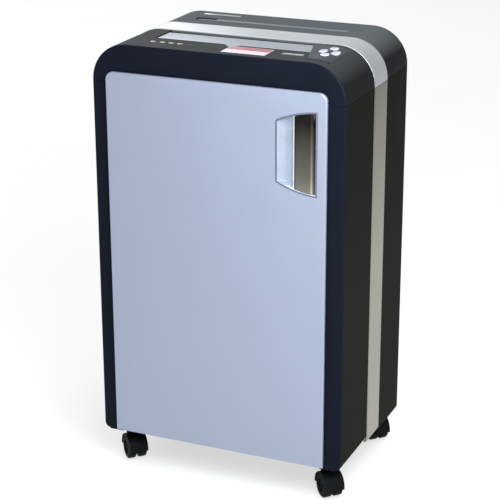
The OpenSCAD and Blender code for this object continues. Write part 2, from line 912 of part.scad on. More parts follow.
module door_liner() {
    half = opening_half - 8;
    low = base_z + base_t + 6;
    high = seam_z - 6;
    color("#2c2e31") difference() {
        translate([-half, front_y - door_gap, low]) cube([2 * half, liner_d, high - low]);
        translate([-half + wall, front_y - door_gap + wall, low + wall])
            cube([2 * (half - wall), liner_d, high - low - 2 * wall]);
        from_front(front_y - door_gap - eps, liner_d + 2 * eps) handle_outline(-touch);
        translate([handle_x0 - touch, front_y - door_gap - eps, handle_z - handle_h / 2])
            cube([handle_w + half, liner_d + 2 * eps, handle_h]);
    }
}

// Plan of the scoop: a hollow curve that deepens towards the grip, then runs on behind it
module scoop_plan() {
    deep = door_face_y + scoop_d;
    mid = handle_x0 + handle_rim + scoop_r * 0.9;
    intersection() {
        translate([mid, deep - scoop_r]) circle(scoop_r);
        translate([handle_x0, door_face_y - eps]) square([mid - handle_x0, scoop_d + 2 * eps]);
    }
    translate([mid - eps, door_face_y - eps])
        square([handle_x1 - handle_rim - mid + eps, scoop_d + eps]);
}

module handle_cup() {
    color("#dfe6ef") difference() {
        from_front(door_face_y, scoop_d + handle_rim) handle_outline(0);
        intersection() {
            from_front(door_face_y - eps, scoop_d + 2 * eps) handle_outline(handle_rim);
            translate([0, 0, handle_z - handle_h / 2]) linear_extrude(handle_h) scoop_plan();
        }
    }
}

module grip_plate() {
    color("#3c3a38") from_front(door_face_y + grip_sink, grip_t) intersection() {
        handle_outline(handle_rim);
        translate([handle_x1 - handle_rim - grip_w, handle_z - handle_h / 2])
            square([grip_w, handle_h]);
    }
}

module strike_plate() {
    color("#b9bcc0") translate([opening_half - 8 - 20, front_y - door_gap + liner_d, base_z + 180])
        cube([16, 1.5, 40]);
}

module magnet_catch() {
    gap = 1.5 + touch;
    start = front_y - door_gap + liner_d + gap;
    color("#e8e8e4") translate([opening_half - 8 - 20, start, base_z + 184]) {
        cube([16, 14, 32]);
        translate([0, 4, -4]) cube([half_w - wall - touch - opening_half + 28, 10, 40]);
    }
}

module hinge_brackets() {
    color("#b9bcc0") for (z = hinge_heights) difference() {
        union() {
            translate([hinge_x, hinge_y, z - hinge_h / 2]) cylinder(r = hinge_eye_r, h = hinge_h);
            translate([hinge_x - hinge_arm / 2, hinge_y, z - hinge_h / 2])
                cube([hinge_arm, front_y + wall + leaf_t - hinge_y, hinge_h]);
            translate([hinge_x - leaf_w / 2, front_y + wall + 0.02, z - hinge_h / 2 - 10])
                cube([leaf_w, leaf_t, hinge_h + 20]);
        }
        translate([hinge_x, hinge_y, z - hinge_h]) cylinder(r = hinge_pin_r, h = 2 * hinge_h);
    }
}

module hinge_pins() {
    length = hinge_h + 2 * hinge_notch_gap + 2 * hinge_reach - 1;
    color("#c9ccd0") for (z = hinge_heights)
        translate([hinge_x, hinge_y, z - length / 2]) cylinder(r = hinge_pin_r, h = length);
}

// ---- Casters ----

// Places children at one caster, turned to where it points at rest
module at_caster(side, row) {
    translate([side * caster_x, caster_ys[row], 0]) rotate([0, 0, caster_turn]) children();
}

module caster_plates() {
    color("#7d8083") for (side = [-1, 1], row = [0, 1]) at_caster(side, row) {
        translate([0, 0, caster_h - caster_plate_t]) cylinder(r = caster_plate_r, h = caster_plate_t);
        translate([0, 0, wheel_d + 5]) cylinder(r = swivel_r, h = caster_h - caster_plate_t - wheel_d - 4);
    }
}

// Rod along the caster's axle
module on_axle(r, half) {
    translate([trail, 0, wheel_r]) rotate([90, 0, 0]) cylinder(r = r, h = 2 * half, center = true);
}

module hood(side, row) {
    boss_low = wheel_r + 4;
    boss_top = caster_h - caster_plate_t - 0.5;
    color("#17181a") at_caster(side, row) difference() {
        union() {
            intersection() {
                on_axle(hood_r, pair_half);
                translate([trail - 2 * hood_r, -pair_half - eps, wheel_r - 2])
                    cube([4 * hood_r, 2 * (pair_half + eps), 2 * hood_r]);
            }
            translate([0, 0, boss_low]) cylinder(r = swivel_boss_r, h = boss_top - boss_low);
            on_axle(wheel_r - 5, web_t / 2);
        }
        for (end = [-1, 1]) translate([0, end * (web_t / 2 + 5 * wheel_w), 0])
            on_axle(wheel_r + caster_gap, 5 * wheel_w);
        on_axle(axle_r + run_fit, pair_half);
        translate([0, 0, wheel_d + 4]) cylinder(r = swivel_r + run_fit, h = caster_h);
    }
}

module wheels(side, row) {
    color("#1f2022") at_caster(side, row) {
        for (end = [-1, 1]) translate([0, end * (web_t / 2 + caster_gap / 2 + wheel_w / 2), 0])
            on_axle(wheel_r, wheel_w / 2);
        on_axle(axle_r, web_t / 2 + caster_gap / 2);
    }
}

module hood_front_left() {
    hood(-1, 0);
}

module hood_front_right() {
    hood(1, 0);
}

module hood_rear_left() {
    hood(-1, 1);
}

module hood_rear_right() {
    hood(1, 1);
}

module wheels_front_left() {
    wheels(-1, 0);
}

module wheels_front_right() {
    wheels(1, 0);
}

module wheels_rear_left() {
    wheels(-1, 1);
}

module wheels_rear_right() {
    wheels(1, 1);
}

head_front_cover();
head_band();
head_rear_cover();
rear_strip();
labels();
throat_plate();
paper_chute();
control_pad();
key_reverse();
key_stop();
key_auto();
key_forward();
indicator_lenses();
control_board();
front_post_left();
front_post_right();
side_band_left();
side_band_right();
rear_side_left();
rear_side_right();
rear_panel();
panel_screws();
base_board();
cutter_deck();
chassis_left();
chassis_right();
shaft_bushes();
tie_rods();
stripper_front();
stripper_rear();
cutter_front();
cutter_rear();
sync_gear_front();
sync_gear_rear();
drive_gear();
idler_gear();
idler_axle();
motor();
motor_pinion();
waste_bin();
mains_inlet();
rocker_switch();
door_panel();
door_liner();
handle_cup();
grip_plate();
strike_plate();
magnet_catch();
hinge_brackets();
hinge_pins();
caster_plates();
hood_front_left();
hood_front_right();
hood_rear_left();
hood_rear_right();
wheels_front_left();
wheels_front_right();
wheels_rear_left();
wheels_rear_right();
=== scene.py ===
"""Detailed surfaces for a cabinet paper shredder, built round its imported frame."""
import json
import math

import bmesh
import bpy
from bpy.props import FloatProperty, FloatVectorProperty, IntProperty, PointerProperty
from mathutils import Matrix, Vector

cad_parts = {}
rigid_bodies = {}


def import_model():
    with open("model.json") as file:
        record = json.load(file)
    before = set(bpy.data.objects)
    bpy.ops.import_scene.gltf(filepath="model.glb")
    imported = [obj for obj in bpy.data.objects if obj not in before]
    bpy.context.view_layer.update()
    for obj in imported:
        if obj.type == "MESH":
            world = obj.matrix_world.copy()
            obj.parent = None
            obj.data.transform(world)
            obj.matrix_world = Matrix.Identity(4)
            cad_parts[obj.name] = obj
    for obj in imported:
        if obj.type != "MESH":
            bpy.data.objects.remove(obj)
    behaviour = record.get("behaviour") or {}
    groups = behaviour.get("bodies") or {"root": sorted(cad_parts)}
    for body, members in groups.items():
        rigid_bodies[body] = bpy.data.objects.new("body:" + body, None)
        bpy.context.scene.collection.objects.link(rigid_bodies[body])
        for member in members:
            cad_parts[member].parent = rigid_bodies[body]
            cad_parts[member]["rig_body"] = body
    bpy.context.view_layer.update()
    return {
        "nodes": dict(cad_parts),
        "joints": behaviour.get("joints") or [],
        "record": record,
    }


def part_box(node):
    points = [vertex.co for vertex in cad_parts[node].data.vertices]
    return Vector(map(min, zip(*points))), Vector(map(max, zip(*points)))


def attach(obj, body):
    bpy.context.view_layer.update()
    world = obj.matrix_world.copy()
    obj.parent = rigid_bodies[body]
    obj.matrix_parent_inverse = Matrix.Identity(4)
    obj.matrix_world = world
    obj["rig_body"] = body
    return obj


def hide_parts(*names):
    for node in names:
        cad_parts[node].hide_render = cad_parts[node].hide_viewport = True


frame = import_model()

bl_info = {
    "name": "Cabinet shredder",
    "version": (1, 0, 0),
    "blender": (4, 5, 0),
    "location": "View3D > Sidebar > Shredder",
    "description": "Builds the detailed surfaces of a paper shredder round its packed frame",
    "category": "Add Mesh",
}

MM = 0.001
SLOT_OF = {part["node"]: part["material_slot"] for part in frame["record"]["subparts"]}


def corners(node):
    """Lowest and highest corner of a frame node, in millimetres."""
    low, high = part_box(node)
    return low / MM, high / MM


# Planes and levels of the frame, in millimetres
HEAD_LOW, HEAD_HIGH = corners("head_front_cover")
BAND_LOW, BAND_HIGH = corners("head_band")
REAR_LOW, REAR_HIGH = corners("head_rear_cover")
DOOR_LOW, DOOR_HIGH = corners("door_panel")
PLATE_LOW, PLATE_HIGH = corners("throat_plate")
CUP_LOW, CUP_HIGH = corners("handle_cup")
GRIP_LOW, GRIP_HIGH = corners("grip_plate")
FRONT = HEAD_LOW.y
REAR = REAR_HIGH.y
TOP = HEAD_HIGH.z
HALF_W = HEAD_HIGH.x

# Nodes that come in sets
KEYS = ("key_reverse", "key_stop", "key_auto", "key_forward")
SIDES = (("left", -1), ("right", 1))
CASTERS = [f"{row}_{side}" for row in ("front", "rear") for side in ("left", "right")]

# Fits and small shapes, in millimetres
OVERCUT = 3                          # height of a cutting shape above the surface it opens
THROUGH, KEY_WELL = 5, 14            # depths of the cuts through the cover, and of the key wells
STRIP_BED, RECESS_BED, STRIP_NOTCH = 1.2, 1.3, 0.8    # depths of the cuts for the rear strip
LOOKS_AHEAD = -0.35                  # normals below this along Y look to the front, and take the painted front shade
SHARP_ANGLE = 34.0                   # edges that turn more than this stay sharp, in degrees
THROAT_FIT = 0.3                     # gap round the guide plate
TAB_HALF, TAB_TIP_HALF = 13, 3       # half widths of the tab at its root and its tip
KEY_FIT = 0.4                        # gap round a key
LENS_HALF, LENS_FIT = (4, 2.5), 0.15
LENS_SHARES = (0, 16 / 60, 0.5, 44 / 60, 1)
STRIP_FIT = 0.3                      # gap round the rear strip
RECESS_PLACE, RECESS_HALF = (13, 6.4), (17, 7.6)    # thumb recess, from the strip's lowest corner
PIN_HALF = 26.5                      # half the length of a hinge pin
HINGE_HALF = 13                      # half the height of the notches round a hinge
NOTCH_R = 3.2                        # round part of a notch, about the hinge axis
NOTCH_BLOCKS = (((-8, 0), (5, 8)), ((-8, -2.75), (-1.6, 5)))    # square parts, from the hinge axis
PIN_SLOT = (1.65, 12.15)             # half width and half height of a post's slot for a hinge
HANDLE_ARC_R, HANDLE_BEYOND = 157.0, 8.0    # arc of the handle's ends, and its middle past the edge
SCOOP_RIM, SCOOP_LIP, SCOOP_FILLET = 2.0, 0.35, 3.2
GRIP_FOLD = 0.82                     # share of the grip's width where its far edge folds in
GRIP_LIP = 0.062                     # lip before the grip, bright with the scoop's painted light, as a share of its width


def length(name, description, default, low=0.0, high=1.0):
    """A size in metres, with its default given in millimetres."""
    return FloatProperty(name=name, description=description, default=default * MM,
                         min=low, max=high, unit="LENGTH", precision=4)


def paint(name, description, default):
    """A base colour, as linear red, green and blue."""
    return FloatVectorProperty(name=name, description=description, default=default,
                               min=0.0, max=1.0, size=3, subtype="COLOR")


class ShredderSizes(bpy.types.PropertyGroup):
    """Sizes of the surface detail."""
    corner_r: length("Head corner", "Radius of the head's upper corners",
                     HEAD_HIGH.z - HEAD_LOW.z - 1.7)
    edge_r: length("Cover edge", "Radius of the rounded front and rear edges of the covers", 3.5)
    wall: length("Wall", "Thickness of the moulded walls", 3.0)
    lip: length("Front rim", "Width of the rounded rim round the front of the head", 12.0)
    foot_r: length("Front foot", "Radius of the lower corners of the front posts", 10.0)
    rear_foot_r: length("Rear foot", "Radius of the lower corners of the band and the rear shell",
                        5.0)
    door_edge: length("Door edge", "Radius of the door's front edge", 2.2)
    door_back: length("Door back edge", "Radius of the door's back edge, which clears the posts",
                      3.4)
    door_corner: length("Door corner", "Radius of the door's upper corners", 12.0)
    tab: length("Throat tab", "Length of the pointed tab in front of the paper opening", 13.0)
    grip_crown: length("Grip crown", "Height of the grip plate's crown across its width", 0.9)
    disc_teeth: IntProperty(name="Cutter teeth", description="Teeth round one cutting disc",
                            default=14, min=6, max=24)
    arc_steps: IntProperty(name="Arc steps", description="Steps round each quarter of a corner",
                           default=18, min=6, max=48)


class ShredderColours(bpy.types.PropertyGroup):
    """Base colours of the finishes."""
    cover_grey: paint("Front cover", "Moulded front cover of the head", (0.0075, 0.0084, 0.0088))
    rear_cover: paint("Rear cover", "Moulded rear cover of the head", (0.0075, 0.0084, 0.009))
    # Painted shade: the black plastic again, darker and bluer, for faces that look ahead
    frame_black: paint("Front frame", "Posts and front rim", (0.006, 0.0078, 0.0145))
    side_black: paint("Rear shell", "Side walls and rear panel", (0.0135, 0.0132, 0.0118))
    band_silver: paint("Head band", "Brushed band over the head", (0.31, 0.33, 0.35))
    band_grey: paint("Side band", "Brushed band down the sides", (0.275, 0.257, 0.212))
    door_silver: paint("Door", "Metallic paint of the door", (0.29, 0.333, 0.44))
    throat_silver: paint("Throat plate", "Anodised plate of the paper opening", (0.34, 0.38, 0.44))
    cup_silver: paint("Handle cup", "Satin paint of the finger scoop", (0.44, 0.5, 0.6))
    # Painted shadow: the rim round the handle is darkened to stand for the shadow of its gap
    rim_grey: paint("Handle rim", "Shaded rim round the handle", (0.13, 0.15, 0.21))
    grip_chrome: paint("Grip", "Dark chrome of the grip plate", (0.33, 0.315, 0.265))
    inner_black: paint("Inner parts", "Boards, chute and liner", (0.025, 0.026, 0.028))
    pad_grey: paint("Control pad", "Pad under the keys", (0.022, 0.026, 0.034))
    key_silver: paint("Keys", "Pearl lacquer of the keys", (0.5, 0.5, 0.66))
    lens_clear: paint("Lenses", "Indicator lenses", (0.16, 0.18, 0.2))
    label_white: paint("Labels", "Blank labels", (0.62, 0.53, 0.56))
    label_rose: paint("Label head", "Upper half of the blank label", (0.33, 0.1, 0.13))
    strip_grey: paint("Rear strip", "Strip let into the rear cover", (0.1, 0.11, 0.13))
    steel: paint("Steel", "Plates, rods and hinges", (0.52, 0.53, 0.55))
    cutter_steel: paint("Cutters", "Hardened cutting discs", (0.32, 0.33, 0.35))
    bronze: paint("Bushes", "Sintered bronze bushes", (0.5, 0.34, 0.16))
    gear_metal: paint("Gears", "Sintered steel gears", (0.42, 0.4, 0.36))
    gear_nylon: paint("Idler", "Nylon idler gear", (0.8, 0.77, 0.66))
    motor_grey: paint("Motor", "Painted motor can", (0.1, 0.11, 0.12))
    board_green: paint("Board", "Solder mask of the control board", (0.03, 0.16, 0.07))
    bin_grey: paint("Bin", "Waste bin", (0.07, 0.075, 0.08))
    caster_black: paint("Caster hoods", "Nylon hoods of the casters", (0.006, 0.0065, 0.0075))
    wheel_black: paint("Wheels", "Treads of the casters", (0.007, 0.0075, 0.008))


class StageSettings(bpy.types.PropertyGroup):
    """Camera, floor and lights."""
    lens: FloatProperty(name="Lens", description="Focal length on a 36 mm sensor, in millimetres",
                        default=117.47, min=20, max=300)
    yaw: FloatProperty(name="Yaw", description="Turn of the camera round the object",
                       default=math.radians(23.41), subtype="ANGLE")
    pitch: FloatProperty(name="Pitch", description="Tilt of the camera below the horizon",
                         default=math.radians(19.87), subtype="ANGLE")
    roll: FloatProperty(name="Roll", description="Roll of the camera", default=-0.0029,
                        subtype="ANGLE")
    place: FloatVectorProperty(name="Place",
                               description="Camera from the top's front edge at mid width",
                               default=(0.9484, -2.0677, 0.5252), size=3, unit="LENGTH")
    sky: FloatProperty(name="Sky", description="Strength of the soft surroundings", default=0.45,
                       min=0)


# ---- Finishes ----

# Surface of each finish, as make_finish takes it: roughness, grains per metre, their depth in
# millimetres, the stretch of a brushed grain, and the painted light and shade of its colour
SURFACES = {
    # Painted light on the covers' upward faces; both covers are the same black plastic, the rear
    # one with more painted light
    "cover_grey": dict(rough=0.4, grain=1400, depth=0.05, specular=0.006, upper=5.2),
    "rear_cover": dict(rough=0.4, grain=1400, depth=0.05, specular=0.006, upper=11.5),
    # The darker, bluer copy of the black plastic on faces that look ahead: painted shade
    "frame_black": dict(rough=0.34, grain=1300, depth=0.035, tone=0.1, specular=0.04),
    # Painted shade on the side walls, darker towards the top
    "side_black": dict(rough=0.5, grain=1300, depth=0.06, tone=0.12, specular=0.004,
                       painted_height_shade=(0.3, 0.68, 0.5)),
    # Painted light on the band's upward faces
    "band_silver": dict(rough=0.34, metal=0.75, grain=260, depth=0.03, brush=(0.04, 1, 0.04),
                        upper=1.8),
    # Painted reflection on the side band, darker towards the top and lighter near the floor
    "band_grey": dict(rough=0.4, metal=0.6, grain=260, depth=0.03, brush=(0.04, 1, 0.04),
                      painted_height_shade=(0.34, 0.62, 0.42)),
    "door_silver": dict(rough=0.38, metal=0.35, tone=0.025, grain=2600, depth=0.012, coat=0.15),
    "throat_silver": dict(rough=0.38, metal=0.6, grain=260, depth=0.02, brush=(0.03, 1, 1)),
    # Painted light on the scoop, lighter towards the grip, where the grip's shade falls
    "cup_silver": dict(rough=0.3, metal=0.45, tone=0.03, grain=2200, depth=0.01, coat=0.2,
                       painted_light_across=(CUP_LOW.x * MM + 0.012, GRIP_LOW.x * MM, 2.3)),
    # The handle's rim, darkened as a painted shadow for the gap round the handle
    "rim_grey": dict(rough=0.35, metal=0.3, tone=0.04, grain=2200, depth=0.01),
    "inner_black": dict(rough=0.6, grain=900, depth=0.08),
    "pad_grey": dict(rough=0.4, grain=1800, depth=0.04, specular=0.25),
    "key_silver": dict(rough=0.25, tone=0.03, grain=2000, depth=0.008, coat=0.5),
    "lens_clear": dict(rough=0.15, tone=0.06, grain=900, depth=0.01, coat=0.6),
    "label_white": dict(rough=0.4, tone=0.03, grain=900, depth=0.015),
    "label_rose": dict(rough=0.4, tone=0.05, grain=900, depth=0.015),
    "strip_grey": dict(rough=0.4, grain=1400, depth=0.04),
    "steel": dict(rough=0.32, metal=1.0, grain=500, depth=0.02, brush=(1, 1, 0.06)),
    "cutter_steel": dict(rough=0.36, metal=1.0, tone=0.16, grain=1500, depth=0.03),
    "bronze": dict(rough=0.4, metal=1.0, grain=2200, depth=0.04),
    "gear_metal": dict(rough=0.42, metal=1.0, tone=0.14, grain=1700, depth=0.04),
    "gear_nylon": dict(rough=0.45, tone=0.05, grain=1200, depth=0.03),
    "motor_grey": dict(rough=0.38, grain=1600, depth=0.05, tone=0.1),
    "board_green": dict(rough=0.3, grain=700, depth=0.03, tone=0.2, coat=0.3),
    "bin_grey": dict(rough=0.5, grain=800, depth=0.08, tone=0.12),
    "caster_black": dict(rough=0.38, grain=1300, depth=0.04, tone=0.15, specular=0.03),
    "wheel_black": dict(rough=0.5, grain=900, depth=0.06, tone=0.2, specular=0.03),
}


CLOUDS = 17.0                        # clouds of colour per metre
GRAIN_SHARE = 0.4                    # share of the fine grain in the mottling
MOTTLE = (0.3, 0.7)                  # mottling that takes the darkest and the lightest tone
UPWARD = (0.45, 1.0)                 # upward part of a normal, from no painted light to all of it


def link(tree, source, target):
    tree.links.new(source, target)


def add_node(tree, kind, **values):
    """A shader node with its inputs set by name."""
    node = tree.nodes.new(kind)
    for name, value in values.items():
        node.inputs[name.replace("_", " ")].default_value = value
    return node


def noise_field(tree, place, scale, detail):
    """A noise over the surface, with its scale per metre."""
    field = add_node(tree, "ShaderNodeTexNoise", Scale=scale, Detail=detail)
    link(tree, place, field.inputs["Vector"])
    return field.outputs["Fac"]


def stretched(tree, place, scale):
    """The place, scaled along each axis."""
    stretch = add_node(tree, "ShaderNodeMapping", Scale=scale)
    link(tree, place, stretch.inputs["Vector"])
    return stretch.outputs["Vector"]


def split_axes(tree, vector):
    axes = add_node(tree, "ShaderNodeSeparateXYZ")
    link(tree, vector, axes.inputs["Vector"])
    return axes.outputs


def mapped(tree, value, **limits):
    """The value, mapped from one range to another."""
    reach = add_node(tree, "ShaderNodeMapRange", **limits)
    link(tree, value, reach.inputs["Value"])
    return reach.outputs["Result"]


def ramped(tree, value, stops):
    """A colour ramp over the value, from stops of (position, colour)."""
    ramp = tree.nodes.new("ShaderNodeValToRGB")
    elements = ramp.color_ramp.elements
    for at, _ in stops[1:-1]:
        elements.new(at)
    for stop, (at, colour) in zip(elements, stops):
        stop.position = at
        stop.color = [*colour, 1.0]
    link(tree, value, ramp.inputs["Fac"])
    return ramp.outputs["Color"]


def new_material(name):
    """A material with its node tree, its shader and the object's coordinates."""
    material = bpy.data.materials.new(name)
    material.use_nodes = True
    tree = material.node_tree
    place = add_node(tree, "ShaderNodeTexCoord").outputs["Object"]
    return material, tree, tree.nodes["Principled BSDF"], place


def roughen(tree, shader, fine, gloss, strength, depth):
    """Gives the shader its varied roughness and the bumps of a fine grain."""
    link(tree, gloss, shader.inputs["Roughness"])
    bump = add_node(tree, "ShaderNodeBump", Strength=strength, Distance=depth * MM)
    link(tree, fine, bump.inputs["Height"])
    link(tree, bump.outputs["Normal"], shader.inputs["Normal"])


def shaded(tree, colour, vector, axis, start, stop, share):
    """The colour, scaled from 1 at the start to a share at the stop along an axis of the vector, to
    paint light and shade into it.
    """
    factor = mapped(tree, split_axes(tree, vector)[axis],
                    From_Min=start, From_Max=stop, To_Min=1.0, To_Max=share)
    shade = add_node(tree, "ShaderNodeVectorMath")
    shade.operation = "SCALE"
    link(tree, colour, shade.inputs[0])
    link(tree, factor, shade.inputs["Scale"])
    return shade.outputs["Vector"]


def make_finish(slot, colour, rough, metal=0.0, tone=0.07, grain=1000, depth=0.03, brush=None,
                coat=0.0, specular=0.5, uneven=0.07, painted_height_shade=None, upper=None, painted_light_across=None):
    """A finish with clouded colour, uneven gloss and a fine moulded or brushed grain.

    The argument for height paints shade into the colour: (level of the full colour, level of the
    last, last share). The argument across paints light from left to right in the same way. upper is
    the last share of painted light for faces that look up.
    """
    material, tree, shader, place = new_material(slot + "_finish")
    shader.inputs["Metallic"].default_value = metal
    shader.inputs["Specular IOR Level"].default_value = specular
    shader.inputs["Coat Weight"].default_value = coat
    shader.inputs["Coat Roughness"].default_value = 0.12
    clouds = noise_field(tree, place, CLOUDS, 5.0)
    fine = noise_field(tree, stretched(tree, place, brush) if brush else place, grain, 3.0)
    blend = add_node(tree, "ShaderNodeMix", Factor=GRAIN_SHARE)
    link(tree, clouds, blend.inputs["A"])
    link(tree, fine, blend.inputs["B"])
    mottle = blend.outputs["Result"]
    shown = ramped(tree, mottle, [(at, [min(1.0, c * share) for c in colour])
                                  for at, share in zip(MOTTLE, (1 - tone, 1 + tone))])
    # Painted shade that changes with height, painted light from left to right, and painted light on
    # faces that look up
    if painted_height_shade:
        shown = shaded(tree, shown, place, "Z", *painted_height_shade)
    if painted_light_across:
        shown = shaded(tree, shown, place, "X", *painted_light_across)
    if upper:
        facing = add_node(tree, "ShaderNodeNewGeometry").outputs["Normal"]
        shown = shaded(tree, shown, facing, "Z", *UPWARD, upper)
    link(tree, shown, shader.inputs["Base Color"])
    gloss = mapped(tree, mottle, From_Min=MOTTLE[0], From_Max=MOTTLE[1],
                   To_Min=max(0.05, rough - uneven), To_Max=min(1.0, rough + uneven))
    roughen(tree, shader, fine, gloss, 0.6, depth)
    return material


# Shares of the grip's colour, all painted light: a painted reflection up the plate, and a painted
# highlight between painted shade at its edges across it
GRIP_PAINTED_REFLECTION = ((0.15, 1.6), (0.6, 0.85), (1.0, 0.18))
GRIP_PAINTED_SHADE_AND_HIGHLIGHT = ((0.0, 0.12), (0.1, 0.42), (0.74, 0.4), (0.8, 1.0), (0.86, 0.5), (0.9, 0.16),
              (1.0, 0.2))


def make_grip_finish(colour):
    """Dark chrome with a painted reflection, dark above and light below, and a painted highlight.
    """
    material, tree, shader, place = new_material("grip_chrome_finish")
    shader.inputs["Metallic"].default_value = 1.0
    axes = split_axes(tree, place)
    height = mapped(tree, axes["Z"], From_Min=GRIP_LOW.z * MM, From_Max=GRIP_HIGH.z * MM)
    across = mapped(tree, axes["X"], From_Min=GRIP_LOW.x * MM, From_Max=GRIP_HIGH.x * MM)
    # Streaks along the plate that break up the painted reflection
    reflection_streaks = noise_field(tree, stretched(tree, place, (90, 90, 9)), 1.0, 3.0)
    drift = add_node(tree, "ShaderNodeMath")
    drift.operation = "MULTIPLY_ADD"
    drift.inputs[1].default_value = 0.22
    link(tree, reflection_streaks, drift.inputs[0])
    link(tree, height, drift.inputs[2])
    painted_grip_light = add_node(tree, "ShaderNodeVectorMath")
    painted_grip_light.operation = "MULTIPLY"
    # Painted reflection: the colour darkens towards the top of the plate
    down = ramped(tree, drift.outputs["Value"],
                  [(at, [c * share for c in colour]) for at, share in GRIP_PAINTED_REFLECTION])
    link(tree, down, painted_grip_light.inputs[0])
    # Painted highlight line near the fold, with painted shade at both edges of the plate
    painted_shade_and_highlight = ramped(tree, across, [(at, [share] * 3) for at, share in GRIP_PAINTED_SHADE_AND_HIGHLIGHT])
    link(tree, painted_shade_and_highlight, painted_grip_light.inputs[1])
    link(tree, painted_grip_light.outputs["Vector"], shader.inputs["Base Color"])
    fine = noise_field(tree, place, 1900, 2.0)
    roughen(tree, shader, fine, mapped(tree, fine, To_Min=0.1, To_Max=0.22), 0.3, 0.01)
    return material


def finish_named(slot):
    """The finish of a material slot, made when it is first asked for."""
    found = bpy.data.materials.get(slot + "_finish")
    if found:
        return found
    colour = list(getattr(bpy.context.scene.shredder_colours, slot))
    if slot == "grip_chrome":
        return make_grip_finish(colour)
    return make_finish(slot, colour, **SURFACES[slot])


# ---- Mesh tools, in millimetres until a piece is finished ----

def size_of(name):
    """A size property, in millimetres."""
    return getattr(bpy.context.scene.shredder_sizes, name) / MM


def middle_of(low, high):
    """Middle and half sizes in X and Y between two corners."""
    return (((low.x + high.x) / 2, (low.y + high.y) / 2),
            ((high.x - low.x) / 2, (high.y - low.y) / 2))


def quarter(steps):
    """Angles from 0 to a right angle, in equal steps."""
    return [math.pi / 2 * i / steps for i in range(steps + 1)]


def arc(centre, radius, start, stop, steps):
    """Points of an arc, with angles in degrees."""
    angles = [math.radians(start + (stop - start) * i / steps) for i in range(steps + 1)]
    return [(centre[0] + radius * math.cos(a), centre[1] + radius * math.sin(a)) for a in angles]


def rounded_rect(half_x, half_y, radius, steps=6, centre=(0, 0)):
    """Closed outline of a rectangle with round corners."""
    points = []
    for sx, sy, start in ((1, 1, 0), (-1, 1, 90), (-1, -1, 180), (1, -1, 270)):
        middle = (centre[0] + sx * (half_x - radius), centre[1] + sy * (half_y - radius))
        points += arc(middle, radius, start, start + 90, steps)
    return points


def loft(bm, rows, closed=True, cap=True, joined=False, material=0):
    """Faces between rows of points.

    closed wraps each row, joined wraps the rows, and cap closes both ends.
    """
    grid = [[bm.verts.new(Vector(point)) for point in row] for row in rows]
    pairs = list(zip(grid, grid[1:])) + ([(grid[-1], grid[0])] if joined else [])
    faces = []
    for upper, lower in pairs:
        count = len(upper)
        for i in range(count if closed else count - 1):
            j = (i + 1) % count
            faces.append(bm.faces.new((upper[i], upper[j], lower[j], lower[i])))
    if cap and not joined:
        faces += [bm.faces.new(grid[0][::-1]), bm.faces.new(grid[-1])]
    for face in faces:
        face.material_index = material
    return faces


def place_xy(points, z):
    return [(x, y, z) for x, y in points]


def place_xz(points, y):
    return [(x, y, z) for x, z in points]


def place_yz(points, x):
    return [(x, y, z) for y, z in points]


def slab(bm, outline, low, high, along="z", edge=0.0, steps=3, material=0):
    """A flat plate with this outline. edge rounds its high face's rim by shrinking the outline."""
    place = {"x": place_yz, "y": place_xz, "z": place_xy}[along]
    middle = [sum(p[i] for p in outline) / len(outline) for i in (0, 1)]
    reach = [max(abs(p[i] - middle[i]) for p in outline) for i in (0, 1)]
    rows = [place(outline, low)]
    turn = 1 if high > low else -1
    if edge:
        for angle in quarter(steps):
            inset = edge * (1 - math.cos(angle))
            ring = [tuple(m + (c - m) * ((r - inset) / r) for c, m, r in zip(p, middle, reach))
                    for p in outline]
            rows.append(place(ring, high - turn * edge * (1 - math.sin(angle))))
    else:
        rows.append(place(outline, high))
    return loft(bm, rows, material=material)


def block(bm, low, high, edge=0.0, material=0):
    """A rectangular block, with its upright edges rounded when edge is given."""
    centre = ((low[0] + high[0]) / 2, (low[1] + high[1]) / 2)
    half = ((high[0] - low[0]) / 2, (high[1] - low[1]) / 2)
    outline = rounded_rect(*half, edge, 3, centre) if edge else [
        (low[0], low[1]), (high[0], low[1]), (high[0], high[1]), (low[0], high[1])]
    return slab(bm, outline, low[2], high[2], material=material)


def lathe(bm, profile, origin, axis, steps=32, material=0):
    """A turned body: profile holds (radius, distance along the axis)."""
    axis = Vector(axis).normalized()
    side = axis.orthogonal().normalized()
    up = axis.cross(side)
    rows = []
    for i in range(steps):
        angle = 2 * math.pi * i / steps
        out = side * math.cos(angle) + up * math.sin(angle)
        rows.append([Vector(origin) + axis * a + out * r for r, a in profile])
    return loft(bm, rows, closed=False, cap=False, joined=True, material=material)


def soften(bm, width, angle=28.0, segments=2):
    """Rounds every edge that turns more sharply than the angle."""
    edges = [e for e in bm.edges if e.is_manifold and e.calc_face_angle(0.0) > math.radians(angle)]
    bmesh.ops.bevel(bm, geom=edges, offset=width, offset_type="OFFSET", segments=segments,
                    profile=0.5, affect="EDGES", clamp_overlap=True)


def new_mesh(name, bm, scale=MM):
    """A mesh from its edit form, with its normals outwards and its size scaled to metres."""
    bmesh.ops.recalc_face_normals(bm, faces=bm.faces)
    mesh = bpy.data.meshes.new(name)
    bm.to_mesh(mesh)
    bm.free()
    if scale != 1:
        mesh.transform(Matrix.Scale(scale, 4))
    return mesh


def new_object(name, data):
    thing = bpy.data.objects.new(name, data)
    bpy.context.scene.collection.objects.link(thing)
    return thing


def smooth(mesh, sharp=180.0):
    """Shades a mesh smooth, but for edges that turn more than the sharp angle."""
    mesh.polygons.foreach_set("use_smooth", [True] * len(mesh.polygons))
    if sharp < 180:
        mesh.set_sharp_from_angle(angle=math.radians(sharp))


